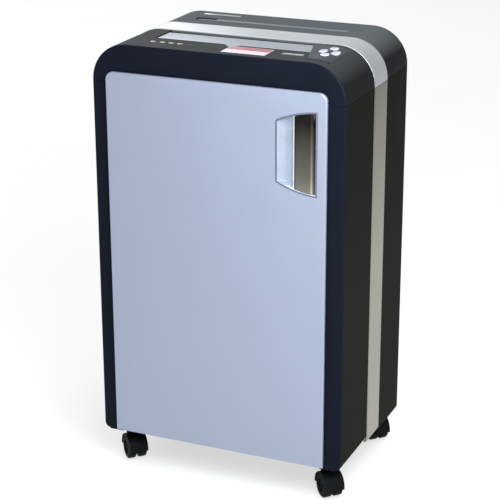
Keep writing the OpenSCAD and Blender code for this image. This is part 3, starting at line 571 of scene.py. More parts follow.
def finish_piece(name, bm, slots, body, stands_for=(), sharp=SHARP_ANGLE, weighted=False):
    """Turns a mesh in millimetres into a piece in metres that rides on a body."""
    bmesh.ops.remove_doubles(bm, verts=bm.verts, dist=1e-4)
    bmesh.ops.dissolve_degenerate(bm, edges=bm.edges, dist=1e-5)
    mesh = new_mesh(name, bm)
    smooth(mesh, sharp)
    for slot in slots:
        mesh.materials.append(finish_named(slot))
    piece = new_object(name, mesh)
    if weighted:
        modifier = piece.modifiers.new("even shading", "WEIGHTED_NORMAL")
        modifier.keep_sharp = True
    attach(piece, body)
    if stands_for:
        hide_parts(*stands_for)
    return piece


def body_of(node):
    return frame["nodes"][node]["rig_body"]


def stand_in(name, bm, slots, node, sharp=SHARP_ANGLE, weighted=False):
    """A piece that stands for one frame node and rides on its body."""
    return finish_piece(name, bm, slots, body_of(node), [node], sharp, weighted)


def paint_front_shade(piece):
    """Gives the faces at the front that look ahead the piece's second finish, a darker, bluer copy
    of the black plastic that paints their shade.
    """
    for face in piece.data.polygons:
        if face.normal.y < LOOKS_AHEAD and face.center.y < (FRONT + size_of("edge_r")) * MM:
            face.material_index = 1


def node_mesh(node):
    """A frame node's solid with its flat faces merged, in millimetres."""
    bm = bmesh.new()
    bm.from_mesh(frame["nodes"][node].data)
    bmesh.ops.scale(bm, vec=(1 / MM,) * 3, verts=bm.verts)
    bmesh.ops.remove_doubles(bm, verts=bm.verts, dist=1e-3)
    bmesh.ops.dissolve_limit(bm, angle_limit=math.radians(0.6), verts=bm.verts, edges=bm.edges)
    return bm


def softened_node(node, name, width, extra=None):
    """A frame node's shape with its edges rounded by a width, plus any added detail."""
    bm = node_mesh(node)
    soften(bm, width)
    if extra:
        extra(bm)
    return stand_in(name, bm, [SLOT_OF[node]], node, weighted=True)


def cut_away(piece, bm):
    """Cuts a mesh in millimetres out of a piece."""
    cutter = new_object("cutter", new_mesh("cutter", bm))
    modifier = piece.modifiers.new("cut", "BOOLEAN")
    modifier.operation = "DIFFERENCE"
    modifier.object = cutter
    modifier.solver = "EXACT"
    modifier.use_self = True
    bpy.context.view_layer.update()
    settled = piece.evaluated_get(bpy.context.evaluated_depsgraph_get())
    shape = bpy.data.meshes.new_from_object(settled)
    piece.modifiers.clear()
    piece.data = shape
    smooth(shape, SHARP_ANGLE)
    bpy.data.objects.remove(cutter)


# ---- Shells ----

def rim_section(depth, lip):
    """Section of a moulded wall with a rounded lip: (outwards from the surface, into the body)."""
    edge, wall = size_of("edge_r"), size_of("wall")
    rounded = arc((-edge, edge), edge, 0, -90, 8)
    return [(0, depth), *rounded, (-lip, 0), (-lip, wall), (-wall, wall), (-wall, depth)]


def band_section(width, proud):
    """Section of the trim band: a shallow crown between two fine chamfers."""
    wall, chamfer, rise, steps = size_of("wall"), 1.0, 0.12, 10
    tuck, shoulder, shoulder_w = 0.2, proud - 0.5, 0.35
    crown = [(proud - rise + rise * math.sin(math.pi * i / steps),
              chamfer + (width - 2 * chamfer) * i / steps) for i in range(steps + 1)]
    return [(-wall, 0), (-tuck, 0), (shoulder, shoulder_w), *crown,
            (shoulder, width - shoulder_w), (-tuck, width), (-wall, width)]


def head_stations(low):
    """Places and directions over the head, from its lower right end to its lower left end."""
    r, steps = size_of("corner_r"), bpy.context.scene.shredder_sizes.arc_steps
    right, high = HALF_W - r, TOP - r
    angles = quarter(steps)
    stations = [(right, low, 0.0)] + [(right, high, a) for a in angles]
    stations += [(x, high, math.pi / 2) for x in (right * 0.5, 0.0, -right * 0.5)]
    stations += [(-right, high, math.pi / 2 + a) for a in angles] + [(-right, low, math.pi)]
    return stations, r


def side_stations(side, r, low, high):
    """Places and directions down one side wall and round its lower corner."""
    steps = bpy.context.scene.shredder_sizes.arc_steps // 2
    centre = side * (HALF_W - r)
    ends = [(centre, high, 0.0), (centre, (high + low + r) / 2, 0.0)]
    stations = ends + [(centre, low + r, -a) for a in quarter(steps)]
    if side < 0:
        stations = [(x, z, math.pi - a) for x, z, a in stations]
    return stations, r


def shell_rows(section, stations, start, into):
    """Carries a section along its stations. into is +1 or -1, the way into the body along Y."""
    places, r = stations
    return [[(x + (r + out) * math.cos(a), start + into * depth, z + (r + out) * math.sin(a))
             for out, depth in section] for x, z, a in places]


def head_face(bm, y, depth):
    """Front or rear wall of the head, inside the rounded rim."""
    inset = size_of("lip")
    r = size_of("corner_r")
    outline = [(HALF_W - inset, HEAD_LOW.z)]
    outline += arc((HALF_W - r, TOP - r), r - inset, 0, 90, 14)
    outline += arc((-HALF_W + r, TOP - r), r - inset, 90, 180, 14)
    outline.append((-HALF_W + inset, HEAD_LOW.z))
    slab(bm, outline, y, y + depth, "y")


def key_plan(node, grow=0.0, steps=10):
    """Outline of a key from above, with its centre."""
    centre, half = middle_of(*corners(node))
    wide, long = half[0] + grow, half[1] + grow
    points = arc((centre[0], centre[1] + long - wide), wide, 0, 180, steps)
    points += arc((centre[0], centre[1] - long + wide), wide, 180, 360, steps)
    return points, centre


def throat_plan(grow, rear, ends=0.0):
    """Outline of the paper opening from above, with its pointed tab."""
    half = PLATE_HIGH.x + THROAT_FIT + grow - ends
    front = PLATE_LOW.y - THROAT_FIT + size_of("tab") - grow
    right = [(half, rear), (half, front), (TAB_HALF + grow, front),
             (TAB_TIP_HALF + grow, front - size_of("tab"))]
    return right + [(-x, y) for x, y in reversed(right)]


def lens_places():
    """Middle of each indicator lens, from the lenses' own box."""
    low, high = corners("indicator_lenses")
    first, last = low.x + LENS_HALF[0], high.x - LENS_HALF[0]
    return [(first + (last - first) * share, (low.y + high.y) / 2) for share in LENS_SHARES]


def hinge_axis():
    """Place of the hinge axis in X and Y."""
    return middle_of(*corners("hinge_pins"))[0]


def hinge_levels():
    """Mid height of each hinge, from the two pins' common box."""
    low, high = corners("hinge_pins")
    return low.z + PIN_HALF, high.z - PIN_HALF


class SHREDDER_OT_head_covers(bpy.types.Operator):
    """Moulded front and rear covers of the head"""
    bl_idname = "shredder.head_covers"
    bl_label = "Head covers"

    def execute(self, context):
        lip = size_of("lip")
        bm = bmesh.new()
        depth = HEAD_HIGH.y - FRONT
        loft(bm, shell_rows(rim_section(depth, lip), head_stations(HEAD_LOW.z), FRONT, 1))
        head_face(bm, FRONT, size_of("wall"))
        # Faces that look ahead take frame_black, the painted shade of the front
        cover = stand_in("front_cover", bm, ["cover_grey", "frame_black"], "head_front_cover")
        holes = bmesh.new()
        slab(holes, throat_plan(0.0, HEAD_HIGH.y + 1), TOP - THROUGH, TOP + OVERCUT)
        for key in KEYS:
            slab(holes, key_plan(key, KEY_FIT)[0], TOP - KEY_WELL, TOP + OVERCUT)
        for centre in lens_places():
            half = [size + LENS_FIT for size in LENS_HALF]
            slab(holes, rounded_rect(*half, 0.8, 3, centre), TOP - THROUGH, TOP + OVERCUT)
        cut_away(cover, holes)
        paint_front_shade(cover)
        bm = bmesh.new()
        section = rim_section(REAR - REAR_LOW.y, lip)
        loft(bm, shell_rows(section, head_stations(HEAD_LOW.z), REAR, -1))
        head_face(bm, REAR, -size_of("wall"))
        cover = stand_in("rear_cover", bm, ["rear_cover"], "head_rear_cover")
        low, high = corners("rear_strip")
        centre, half = middle_of(low, high)
        holes = bmesh.new()
        half = [size + STRIP_FIT for size in half]
        slab(holes, rounded_rect(*half, 2, 4, centre), TOP - STRIP_BED, TOP + OVERCUT)
        recess = (low.x + RECESS_PLACE[0], low.y + RECESS_PLACE[1])
        slab(holes, rounded_rect(*RECESS_HALF, 3.5, 5, recess), TOP - RECESS_BED, TOP + OVERCUT)
        cut_away(cover, holes)
        return {"FINISHED"}


class SHREDDER_OT_trim_band(bpy.types.Operator):
    """Brushed trim band over the head and down both sides"""
    bl_idname = "shredder.trim_band"
    bl_label = "Trim band"

    def execute(self, context):
        width, proud = BAND_HIGH.y - BAND_LOW.y, BAND_HIGH.z - TOP
        bm = bmesh.new()
        section = band_section(width, proud)
        loft(bm, shell_rows(section, head_stations(HEAD_LOW.z), BAND_LOW.y, 1))
        stand_in("head_trim", bm, ["band_silver"], "head_band")
        for name, side in SIDES:
            node = "side_band_" + name
            low, high = corners(node)
            bm = bmesh.new()
            stations = side_stations(side, size_of("rear_foot_r"), low.z + proud, high.z)
            loft(bm, shell_rows(section, stations, low.y, 1))
            stand_in("side_trim_" + name, bm, ["band_grey"], node)
        return {"FINISHED"}


class SHREDDER_OT_side_shells(bpy.types.Operator):
    """Front posts and rear side walls of the cabinet"""
    bl_idname = "shredder.side_shells"
    bl_label = "Side shells"

    def execute(self, context):
        for name, side in SIDES:
            self.post(name, side)
            node = "rear_side_" + name
            low, high = corners(node)
            r = size_of("rear_foot_r")
            bm = bmesh.new()
            section = rim_section(high.y - low.y, r - 0.5)
            loft(bm, shell_rows(section, side_stations(side, r, low.z, high.z), REAR, -1))
            stand_in("rear_wall_" + name, bm, ["side_black"], node)
        return {"FINISHED"}

    def post(self, name, side):
        """Front post with its rounded rim, and the slots for the hinges at the left."""
        foot, wall = size_of("foot_r"), size_of("wall")
        node = "front_post_" + name
        low, high = corners(node)
        inner = max(abs(low.x), abs(high.x)) - (high.x - low.x)
        bm = bmesh.new()
        section = rim_section(high.y - low.y, foot - 1)
        loft(bm, shell_rows(section, side_stations(side, foot, low.z, high.z), low.y, 1))
        edge = HALF_W - foot + 1
        outline = [(inner, low.z), (edge - 1, low.z), (edge - 1, low.z + foot - 1),
                   (edge, low.z + foot), (edge, high.z), (inner, high.z)]
        slab(bm, [(side * x, z) for x, z in outline], low.y, low.y + wall, "y")
        # Faces that look ahead take frame_black, the painted shade of the front
        post = stand_in("post_" + name, bm, ["side_black", "frame_black"], node)
        paint_front_shade(post)
        if side < 0:
            axis_x, half, tall = hinge_axis()[0], *PIN_SLOT
            slots = bmesh.new()
            for z in hinge_levels():
                block(slots, (axis_x - half, FRONT - 1, z - tall),
                      (axis_x + half, FRONT + wall + 1, z + tall))
            cut_away(post, slots)


# ---- Top ----

class SHREDDER_OT_paper_throat(bpy.types.Operator):
    """Silver guide plate, its bright front rail and the chute below it"""
    bl_idname = "shredder.paper_throat"
    bl_label = "Paper throat"

    def execute(self, context):
        bm = bmesh.new()
        front = PLATE_LOW.y - THROAT_FIT + size_of("tab")
        tray, inset, ends, gap = 1.0, 1.2, 1.6, 15
        slab(bm, throat_plan(-0.4, PLATE_HIGH.y), PLATE_LOW.z, PLATE_LOW.z + tray, material=1)
        plan = throat_plan(-inset, PLATE_HIGH.y - THROAT_FIT, ends)
        slab(bm, plan, PLATE_LOW.z + tray, PLATE_HIGH.z, edge=0.5)
        half = PLATE_HIGH.x - ends - inset
        for side in (-1, 1):
            centre = (side * (half + gap) / 2, front + 2.6)
            rail = rounded_rect((half - gap) / 2, 1.1, 1.0, 4, centre)
            slab(bm, rail, PLATE_HIGH.z - 0.2, PLATE_HIGH.z + 0.5, edge=0.45, material=2)
        # The rail takes the band's finish, whose painted light on upward faces makes it bright
        slots = ["throat_silver", "inner_black", "band_silver"]
        stand_in("throat_guide", bm, slots, "throat_plate")
        softened_node("paper_chute", "chute_moulding", 0.4)
        return {"FINISHED"}


def dome(bm, outline, centre, low, edge_z, top_z, rings=6, material=0):
    """A button: upright sides up to edge_z, then a soft dome up to top_z."""
    rows = [place_xy(outline, low), place_xy(outline, edge_z)]
    for angle in quarter(rings)[1:-1]:
        share = math.cos(angle) ** 0.55
        ring = [tuple(m + (c - m) * share for c, m in zip(point, centre)) for point in outline]
        rows.append(place_xy(ring, edge_z + (top_z - edge_z) * math.sin(angle)))
    loft(bm, rows, material=material)


class SHREDDER_OT_controls(bpy.types.Operator):
    """Control pad with its ridge, and the four domed keys with plain symbols"""
    bl_idname = "shredder.controls"
    bl_label = "Controls"

    def execute(self, context):
        softened_node("control_pad", "control_panel", 0.22)
        for key in KEYS:
            low, high = corners(key)
            plan, centre = key_plan(key, 0.0, 14)
            bm = bmesh.new()
            dome(bm, plan, centre, low.z, high.z - 1.1, high.z - 0.1)
            for mark in self.symbol(key, centre):
                slab(bm, mark, high.z - 0.45, high.z, material=1)
            stand_in(key.replace("key", "button"), bm, ["key_silver", "pad_grey"], key)
        return {"FINISHED"}

    def symbol(self, key, centre):
        """Small outlines of a key's symbol: a square, a pair of bars, or two arrows."""
        x, y = centre
        if key == "key_stop":
            return [rounded_rect(1.3, 1.3, 0.2, 2, centre)]
        if key == "key_auto":
            return [rounded_rect(0.3, 1.3, 0.25, 2, (x + s, y)) for s in (-0.8, 0.8)]
        way = 1 if key == "key_forward" else -1
        arrow = ((0.9, 0), (-0.6, 1.2), (-0.6, -1.2))
        return [[(x + way * (s + ahead), y + up) for ahead, up in arrow] for s in (-0.9, 0.9)]


# Blank labels: half sizes, corner, middle, levels above the top, edge and finish
LABELS = (
    ((34, 19.5), 1.2, (35.5, FRONT + 34.5), (0, 0.12), 0.05, 0),
    ((33.4, 9), 0.8, (35.5, FRONT + 44.2), (0.11, 0.2), 0.04, 1),
    ((16, 4.5), 1, (104, FRONT + 38), (0, 0.2), 0.06, 2),
    ((31, 4), 1, (-100, REAR - 23), (0, 0.2), 0.06, 2),
)


class SHREDDER_OT_top_details(bpy.types.Operator):
    """Indicator lenses, blank labels and the strip let into the rear cover"""
    bl_idname = "shredder.top_details"
    bl_label = "Top details"

    def execute(self, context):
        bm = bmesh.new()
        for index, centre in enumerate(lens_places()):
            outline = rounded_rect(*LENS_HALF, 0.7, 4, centre)
            slab(bm, outline, TOP - 3, TOP + 0.3, edge=0.25, material=int(index == 4))
        stand_in("indicator_windows", bm, ["lens_clear", "inner_black"], "indicator_lenses")
        bm = bmesh.new()
        for half, corner, centre, (low, high), edge, material in LABELS:
            slab(bm, rounded_rect(*half, corner, 3, centre), TOP + low, TOP + high, edge=edge,
                 material=material)
        stand_in("blank_labels", bm, ["label_white", "label_rose", "lens_clear"], "labels")
        low, high = corners("rear_strip")
        centre, half = middle_of(low, high)
        bm = bmesh.new()
        half = [size - 0.1 for size in half]
        slab(bm, rounded_rect(*half, 1.8, 5, centre), low.z, high.z, edge=0.5)
        strip = stand_in("rear_inlay", bm, ["strip_grey"], "rear_strip")
        notch = bmesh.new()
        recess = (low.x + RECESS_PLACE[0], low.y + RECESS_PLACE[1])
        slab(notch, rounded_rect(17.2, 8, 3.4, 5, recess), TOP - STRIP_NOTCH, TOP + OVERCUT)
        cut_away(strip, notch)
        return {"FINISHED"}


# ---- Door ----

def handle_reach(x, inset=0.0):
    """Half of the handle's height at a place across it, from the arc through its corners."""
    half = (CUP_HIGH.z - CUP_LOW.z) / 2
    crown = math.sqrt(HANDLE_ARC_R ** 2 - HANDLE_BEYOND ** 2)
    across = x - (CUP_HIGH.x + HANDLE_BEYOND)
    return half - crown + math.sqrt((HANDLE_ARC_R - inset) ** 2 - across ** 2)


def handle_plan(inset, steps=16):
    """Outline of the handle in X and Z."""
    start, stop = CUP_LOW.x + inset, CUP_HIGH.x - inset
    middle = (CUP_HIGH.z + CUP_LOW.z) / 2
    xs = [start + (stop - start) * i / steps for i in range(steps + 1)]
    return [(x, middle + handle_reach(x, inset)) for x in xs] + [
        (x, middle - handle_reach(x, inset)) for x in reversed(xs)]


def door_outline(inset):
    """Outline of the door in X and Z, pulled in from its edge."""
    r = size_of("door_corner")
    left, right = DOOR_LOW.x + inset, DOOR_HIGH.x - inset
    low, high = DOOR_LOW.z + inset, DOOR_HIGH.z - inset
    points = arc((right - r + inset, high - r + inset), r - inset, 0, 90, 12)
    points += arc((left + r - inset, high - r + inset), r - inset, 90, 180, 12)
    small = 1.0
    points += arc((left + small, low + small), small, 180, 270, 4)
    return points + arc((right - small, low + small), small, 270, 360, 4)


class SHREDDER_OT_door(bpy.types.Operator):
    """Painted door panel with rounded edges, and the ribbed liner behind it"""
    bl_idname = "shredder.door"
    bl_label = "Door"

    def execute(self, context):
        front_r, back_r = size_of("door_edge"), size_of("door_back")
        face, back = DOOR_LOW.y, DOOR_HIGH.y
        rows = []
        for a in quarter(5):
            ring = door_outline(front_r * (1 - math.sin(a)))
            rows.append(place_xz(ring, face + front_r * (1 - math.cos(a))))
        for a in quarter(5):
            ring = door_outline(back_r * (1 - math.cos(a)))
            rows.append(place_xz(ring, back - back_r * (1 - math.sin(a))))
        bm = bmesh.new()
        loft(bm, rows)
        panel = stand_in("door_skin", bm, ["door_silver"], "door_panel")
        holes = bmesh.new()
        slab(holes, handle_plan(-0.45), face - 1, back + 1, "y")
        x, y = hinge_axis()
        for z in hinge_levels():
            low, high = z - HINGE_HALF, z + HINGE_HALF
            profile = [(0, low), (NOTCH_R, low), (NOTCH_R, high), (0, high)]
            lathe(holes, profile, (x, y, 0), (0, 0, 1), 24)
            for near, far in NOTCH_BLOCKS:
                block(holes, (x + near[0], y + near[1], low), (x + far[0], y + far[1], high))
        bmesh.ops.remove_doubles(holes, verts=holes.verts, dist=1e-4)
        cut_away(panel, holes)
        softened_node("door_liner", "liner_moulding", 0.8, self.ribs)
        return {"FINISHED"}

    def ribs(self, bm):
        """Stiffening ribs across the liner's hollow."""
        low, high = corners("door_liner")
        for i in range(1, 6):
            z = low.z + (high.z - low.z) * i / 6
            stop = high.x - 3 if z < CUP_LOW.z - 8 else CUP_LOW.x - 6
            block(bm, (low.x + 2.9, low.y + 2.9, z - 1), (stop + 0.1, high.y - 2.5, z + 1))


class SHREDDER_OT_handle(bpy.types.Operator):
    """Smooth finger scoop and the crowned grip plate across it"""
    bl_idname = "shredder.handle"
    bl_label = "Handle"

    def execute(self, context):
        self.scoop()
        self.grip()
        return {"FINISHED"}

    def scoop(self):
        """A shell that deepens from the left on an arc, with a flat rim and filleted walls."""
        face, rim, lip = CUP_LOW.y, SCOOP_RIM, SCOOP_LIP
        deepest = CUP_HIGH.y - face - rim
        middle = (CUP_HIGH.z + CUP_LOW.z) / 2
        left, right = CUP_LOW.x, CUP_HIGH.x
        turn_r, steps = 38.0, 34
        deep_x = left + rim + turn_r * 0.9

        def depth_at(x):
            across = min(x, deep_x) - deep_x
            return deepest - turn_r + math.sqrt(max(0.0, turn_r ** 2 - across ** 2))

        flats = [left, left + 0.5, left + rim - 0.4]
        xs = flats + [left + rim + (right - 2 * rim - left) * i / steps for i in range(steps + 1)]
        xs += [right - rim + 0.05, right]
        rows = []
        for index, x in enumerate(xs):
            inside = len(flats) <= index < len(xs) - 2
            depth = depth_at(x) if inside else 0.0
            outer, inner = handle_reach(x), handle_reach(x, rim)
            fillet = min(SCOOP_FILLET, depth * 0.8)
            half = [(outer, face + lip), (outer - lip, face), (inner + lip, face),
                    (inner, face + min(lip, depth * 0.3)), (inner, face + depth - fillet)]
            half += [(inner - fillet * (1 - math.cos(a)),
                      face + depth - fillet * (1 - math.sin(a))) for a in quarter(5)[1:]]
            half += [((inner - fillet) * share, face + depth) for share in (0.66, 0.33)]
            rows.append(self.mirrored(x, middle, half))
        # Faces of the flat rim take the rim's painted shadow finish
        cup = self.shell("handle_scoop", rows, ["cup_silver", "rim_grey"], "handle_cup", 50, 1.5,
                         lambda spot: spot.y < face + lip - 0.01)
        cup.modifiers["wall"].use_even_offset = False

    def mirrored(self, x, middle, half):
        """A full row from its upper half, given as (distance from the middle, depth)."""
        upper = [(x, y, middle + z) for z, y in half]
        return upper + [(x, y, middle - z) for z, y in reversed(half)]

    def shell(self, name, rows, slots, node, sharp, thick, second):
        """A thin shell over the rows. second tells which faces take the second finish."""
        bm = bmesh.new()
        loft(bm, rows, closed=False, cap=False)
        for face in bm.faces:
            face.material_index = int(second(face.calc_center_median()))
        piece = stand_in(name, bm, slots, node, sharp=sharp)
        inwards = sum(face.normal.y * face.area for face in piece.data.polygons) > 0
        walls = piece.modifiers.new("wall", "SOLIDIFY")
        walls.thickness = thick * MM
        walls.offset = 1.0 if inwards else -1.0
        return piece

    def grip(self):
        """A crowned plate across the scoop: a lip at its left in the scoop's finish, bright with
        its painted light, and a fold at its right.
        """
        low, high = GRIP_LOW, GRIP_HIGH
        middle = (high.z + low.z) / 2
        crown = size_of("grip_crown")
        wide = high.x - low.x
        steps = 22
        rows = []
        for u in [-GRIP_LIP, -0.05, -0.025, -0.002] + [i / steps for i in range(steps + 1)]:
            x = low.x + wide * u
            bend = crown * (1 - (2 * min(u, GRIP_FOLD) - 0.9) ** 2)
            fold = 0.0
            if u >= GRIP_FOLD:
                fold = 1.9 * math.sin(math.pi / 2 * (u - GRIP_FOLD) / (1 - GRIP_FOLD)) ** 2
            if u < 0:
                fold = 0.2 + 1.2 * (u / GRIP_LIP) ** 2
            y = low.y + crown - bend + fold
            reach = handle_reach(x, 2.3)
            half = [(reach, y + 0.9), (reach - 0.25, y + 0.3), (reach - 0.8, y)]
            half += [((reach - 0.8) * share, y) for share in (0.6, 0.2)]
            rows.append(self.mirrored(x, middle, half))
        self.shell("grip_bar", rows, ["grip_chrome", "cup_silver"], "grip_plate", 60, 1.2,
                   lambda spot: spot.x < low.x)


class SHREDDER_OT_door_hardware(bpy.types.Operator):
    """Hinges, hinge pins, strike plate and magnet catch"""
    bl_idname = "shredder.door_hardware"
    bl_label = "Door hardware"

    def execute(self, context):
        softened_node("hinge_brackets", "hinge_leaves", 0.3)
        softened_node("hinge_pins", "hinge_rods", 0.3)
        softened_node("strike_plate", "strike", 0.3)
        softened_node("magnet_catch", "catch", 0.8)
        return {"FINISHED"}


# ---- Rear ----

class SHREDDER_OT_rear_panel(bpy.types.Operator):
    """Vented rear panel with its screws, the mains inlet and the rocker switch"""
    bl_idname = "shredder.rear_panel"
    bl_label = "Rear panel"

    def execute(self, context):
        softened_node("rear_panel", "vent_panel", 0.6)
        self.screws()
        softened_node("mains_inlet", "inlet_socket", 0.5)
        softened_node("rocker_switch", "rocker", 0.5)
        return {"FINISHED"}

    def screws(self):
        """Pan-head screws with a cross recess, at the places of the frame's own screws."""
        low, high = corners("panel_screws")
        node = frame["nodes"]["panel_screws"]
        heads = {}
        for vertex in node.data.vertices:
            x, z = vertex.co.x / MM, vertex.co.z / MM
            key = (x > 0, round((z - low.z) / (high.z - low.z - 8) * 3))
            heads.setdefault(key, []).append((x, z))
        middles = [[(min(way) + max(way)) / 2 for way in zip(*points)] for points in heads.values()]
        profile = [(0, -6), (1.9, -6), (2, -5.5), (2, 0), (4, 0), (3.9, 0.7), (3.3, 1.5),
                   (2.2, 1.9), (0, 1.95)]
        bm, recess = bmesh.new(), bmesh.new()
        arm, reach = 0.45, 2
        upper = [(arm, arm), (arm, reach), (-arm, reach), (-arm, arm), (-reach, arm),
                 (-reach, -arm)]
        cross = upper + [(-x, -z) for x, z in upper]
        for x, z in middles:
            lathe(bm, profile, (x, high.y - 2, z), (0, 1, 0), 28)
            slab(recess, [(x + a, z + b) for a, b in cross], high.y - 1.2, high.y + 1, "y")
        bmesh.ops.remove_doubles(bm, verts=bm.verts, dist=1e-4)
        cut_away(stand_in("panel_bolts", bm, ["steel"], "panel_screws"), recess)


# ---- Inside ----

# Name and edge rounding of the piece that stands for each node
INSIDE = {
    "base_board": ("floor_board", 0.8), "cutter_deck": ("deck_plate", 0.4),
    "chassis_left": ("side_plate_left", 0.3), "chassis_right": ("side_plate_right", 0.3),
    "shaft_bushes": ("bronze_bushes", 0.2), "tie_rods": ("chassis_rods", 0.3),
    "stripper_front": ("comb_front", 0.3), "stripper_rear": ("comb_rear", 0.3),
    "sync_gear_front": ("timing_gear_front", 0.2), "sync_gear_rear": ("timing_gear_rear", 0.2),
    "drive_gear": ("final_gear", 0.2), "idler_gear": ("nylon_gear", 0.2),
    "idler_axle": ("idler_stud", 0.3), "motor_pinion": ("pinion", 0.2),
}


class SHREDDER_OT_drive_parts(bpy.types.Operator):
    """Boards, side plates, rods, combs and gears inside the head"""
    bl_idname = "shredder.drive_parts"
    bl_label = "Drive parts"

    def execute(self, context):
        for node, (name, width) in INSIDE.items():
            softened_node(node, name, width)
        return {"FINISHED"}


class SHREDDER_OT_cutters(bpy.types.Operator):
    """Toothed cutting discs on their two shafts"""
    bl_idname = "shredder.cutters"
    bl_label = "Cutters"

    def execute(self, context):
        teeth = context.scene.shredder_sizes.disc_teeth
        for row in ("front", "rear"):
            node = "cutter_" + row
            low, high = corners(node)
            centre = ((low.y + high.y) / 2, (low.z + high.z) / 2)
            disc_r = (high.z - low.z) / 2
            xs = self.disc_places(node, centre, disc_r)
            bm = bmesh.new()
            core, journal, half_disc = disc_r - 6, 8.0, 1.7
            inner_low, inner_high = xs[0] - 6, xs[-1] + 6
            profile = [(0, low.x), (journal - 0.6, low.x), (journal, low.x + 0.6),
                       (journal, inner_low), (core, inner_low), (core, inner_high),
                       (journal, inner_high), (journal, high.x - 0.6), (journal - 0.6, high.x),
                       (0, high.x)]
            lathe(bm, profile, (0, *centre), (1, 0, 0), 40)
            for index, x in enumerate(xs):
                outline = self.tooth_outline(centre, disc_r, teeth, index * 7.0)
                slab(bm, outline, x - half_disc, x + half_disc, "x")
            stand_in("cutting_shaft_" + row, bm, ["cutter_steel"], node, sharp=25)
        return {"FINISHED"}

    def disc_places(self, node, centre, disc_r):
        """Middle of each disc, from the frame's own vertices at the discs' rim."""
        y, z = centre
        rim = sorted({round(v.co.x / MM, 1) for v in frame["nodes"][node].data.vertices
                      if math.hypot(v.co.y / MM - y, v.co.z / MM - z) > disc_r - 0.2})
        return [(a + b) / 2 for a, b in zip(rim[::2], rim[1::2])]

    def tooth_outline(self, centre, radius, teeth, turn):
        """Outline of a disc whose teeth each rise slowly and drop steeply."""
        points = []
        for i in range(teeth):
            for share, drop in ((0.0, 0.05), (0.12, 2.2), (0.3, 1.6), (0.62, 0.7)):
                a, r = math.radians(turn + 360 * (i + share) / teeth), radius - drop
                points.append((centre[0] + r * math.cos(a), centre[1] + r * math.sin(a)))
        return points


class SHREDDER_OT_motor(bpy.types.Operator):
    """Motor can with end bells and cooling fins"""
    bl_idname = "shredder.motor"
    bl_label = "Motor"

    def execute(self, context):
        low, high = corners("motor")
        y, z = (low.y + high.y) / 2, (low.z + high.z) / 2
        r = (high.z - low.z) / 2
        end = high.x - 8
        bm = bmesh.new()
        bore_r, fins = 4.4, 24
        profile = [(0, low.x + 31), (bore_r, low.x + 30), (bore_r, low.x), (r * 0.5, low.x),
                   (r * 0.9, low.x + 0.8), (r, low.x + 4), (r, low.x + 16), (r - 1.2, low.x + 17),
                   (r - 1.2, end - 17), (r, end - 16), (r, end - 4), (r * 0.9, end - 0.8),
                   (r * 0.52, end), (r * 0.48, high.x - 1), (r * 0.42, high.x), (0, high.x)]
        lathe(bm, profile, (0, y, z), (1, 0, 0), 56)
        for i in range(fins):
            a = math.radians(360 / fins * i)
            out = Vector((0, math.cos(a), math.sin(a)))
            along = Vector((0, -math.sin(a), math.cos(a)))
            ridge = [out * (r - drop) + along * wide
                     for drop, wide in ((1.3, -0.7), (0.15, -0.5), (0.15, 0.5), (1.3, 0.7))]
            loft(bm, [[Vector((x, y, z)) + p for p in ridge] for x in (low.x + 16.5, end - 16.5)])
        stand_in("drive_motor", bm, ["motor_grey"], "motor")
        return {"FINISHED"}


class SHREDDER_OT_control_board(bpy.types.Operator):
    """Control board with chips, key switches and a connector"""
    bl_idname = "shredder.control_board"
    bl_label = "Control board"

    def execute(self, context):
        low, high = corners("control_board")
        surface = low.z + 1.6
        softened_node("control_board", "logic_board", 0.2)
        bm = bmesh.new()
        half = 3
        for key in KEYS:
            x, y = middle_of(*corners(key))[0]
            if x + half < high.x and low.y + half < y < high.y - half:
                slab(bm, rounded_rect(half, half, 0.5, 2, (x, y)), surface, surface + 3.2, edge=0.3)
                plunger = rounded_rect(1.4, 1.4, 1.2, 4, (x, y))
                slab(bm, plunger, surface + 3, surface + 4.6, edge=0.3)
        chips = ((10, 20, 5, 8, 1.4), (12, 42, 4, 4, 1.2), (10, 58, 3, 6, 5.0))
        for dx, dy, half_x, half_y, tall in chips:
            outline = rounded_rect(half_x, half_y, 0.4, 2, (low.x + dx, low.y + dy))
            slab(bm, outline, surface, surface + tall, edge=0.2)
        finish_piece("board_parts", bm, ["inner_black"], body_of("control_board"))
        return {"FINISHED"}


class SHREDDER_OT_waste_bin(bpy.types.Operator):
    """Moulded waste bin with a rolled rim, round corners and a finger hole"""
    bl_idname = "shredder.waste_bin"
    bl_label = "Waste bin"

    def execute(self, context):
        low, high = corners("waste_bin")
        centre, half = middle_of(low, high)
        wall, taper, rim = 2.5, 3.0, 2.0
        base, top = low.z, high.z
        # Inset, level and corner radius of each ring, from the base up the outside and down inside
        rings = ((taper + 4, base, 10), (taper + 1, base + 1.2, 12), (taper, base + 4, 13),
                 (rim + 0.6, top - 12, 12), (rim, top - 11, 12), (0.4, top - 10.5, 13.6),
                 (0, top - 9, 14), (0, top - 1.5, 14), (0.5, top - 0.4, 13.6), (1.4, top, 12.8),
                 (2.6, top, 12), (rim + wall, top - 1.4, 10), (rim + wall, top - 8, 10),
                 (taper + wall, base + 5, 9), (taper + wall + 3, base + 2.6, 7))
        bm = bmesh.new()
        loft(bm, [place_xy(rounded_rect(half[0] - inset, half[1] - inset, r, 6, centre), z)
                  for inset, z, r in rings])
        box = stand_in("bin_moulding", bm, ["bin_grey"], "waste_bin")
        hole = bmesh.new()
        slab(hole, [(centre[0] + x, z) for x, z in rounded_rect(45, 13, 12, 6, (0, high.z - 40))],
             low.y - 1, low.y + 12, "y")
        cut_away(box, hole)
        return {"FINISHED"}


# ---- Casters ----

def caster_axis(corner):
    """Mid point of a wheel pair and the direction of its axle, from the frame's joint."""
    low, high = corners("wheels_" + corner)
    joint = next(j for j in frame["joints"] if j["child"] == "wheel_" + corner)
    return (low + high) / 2, Vector(joint["axis"]).normalized()


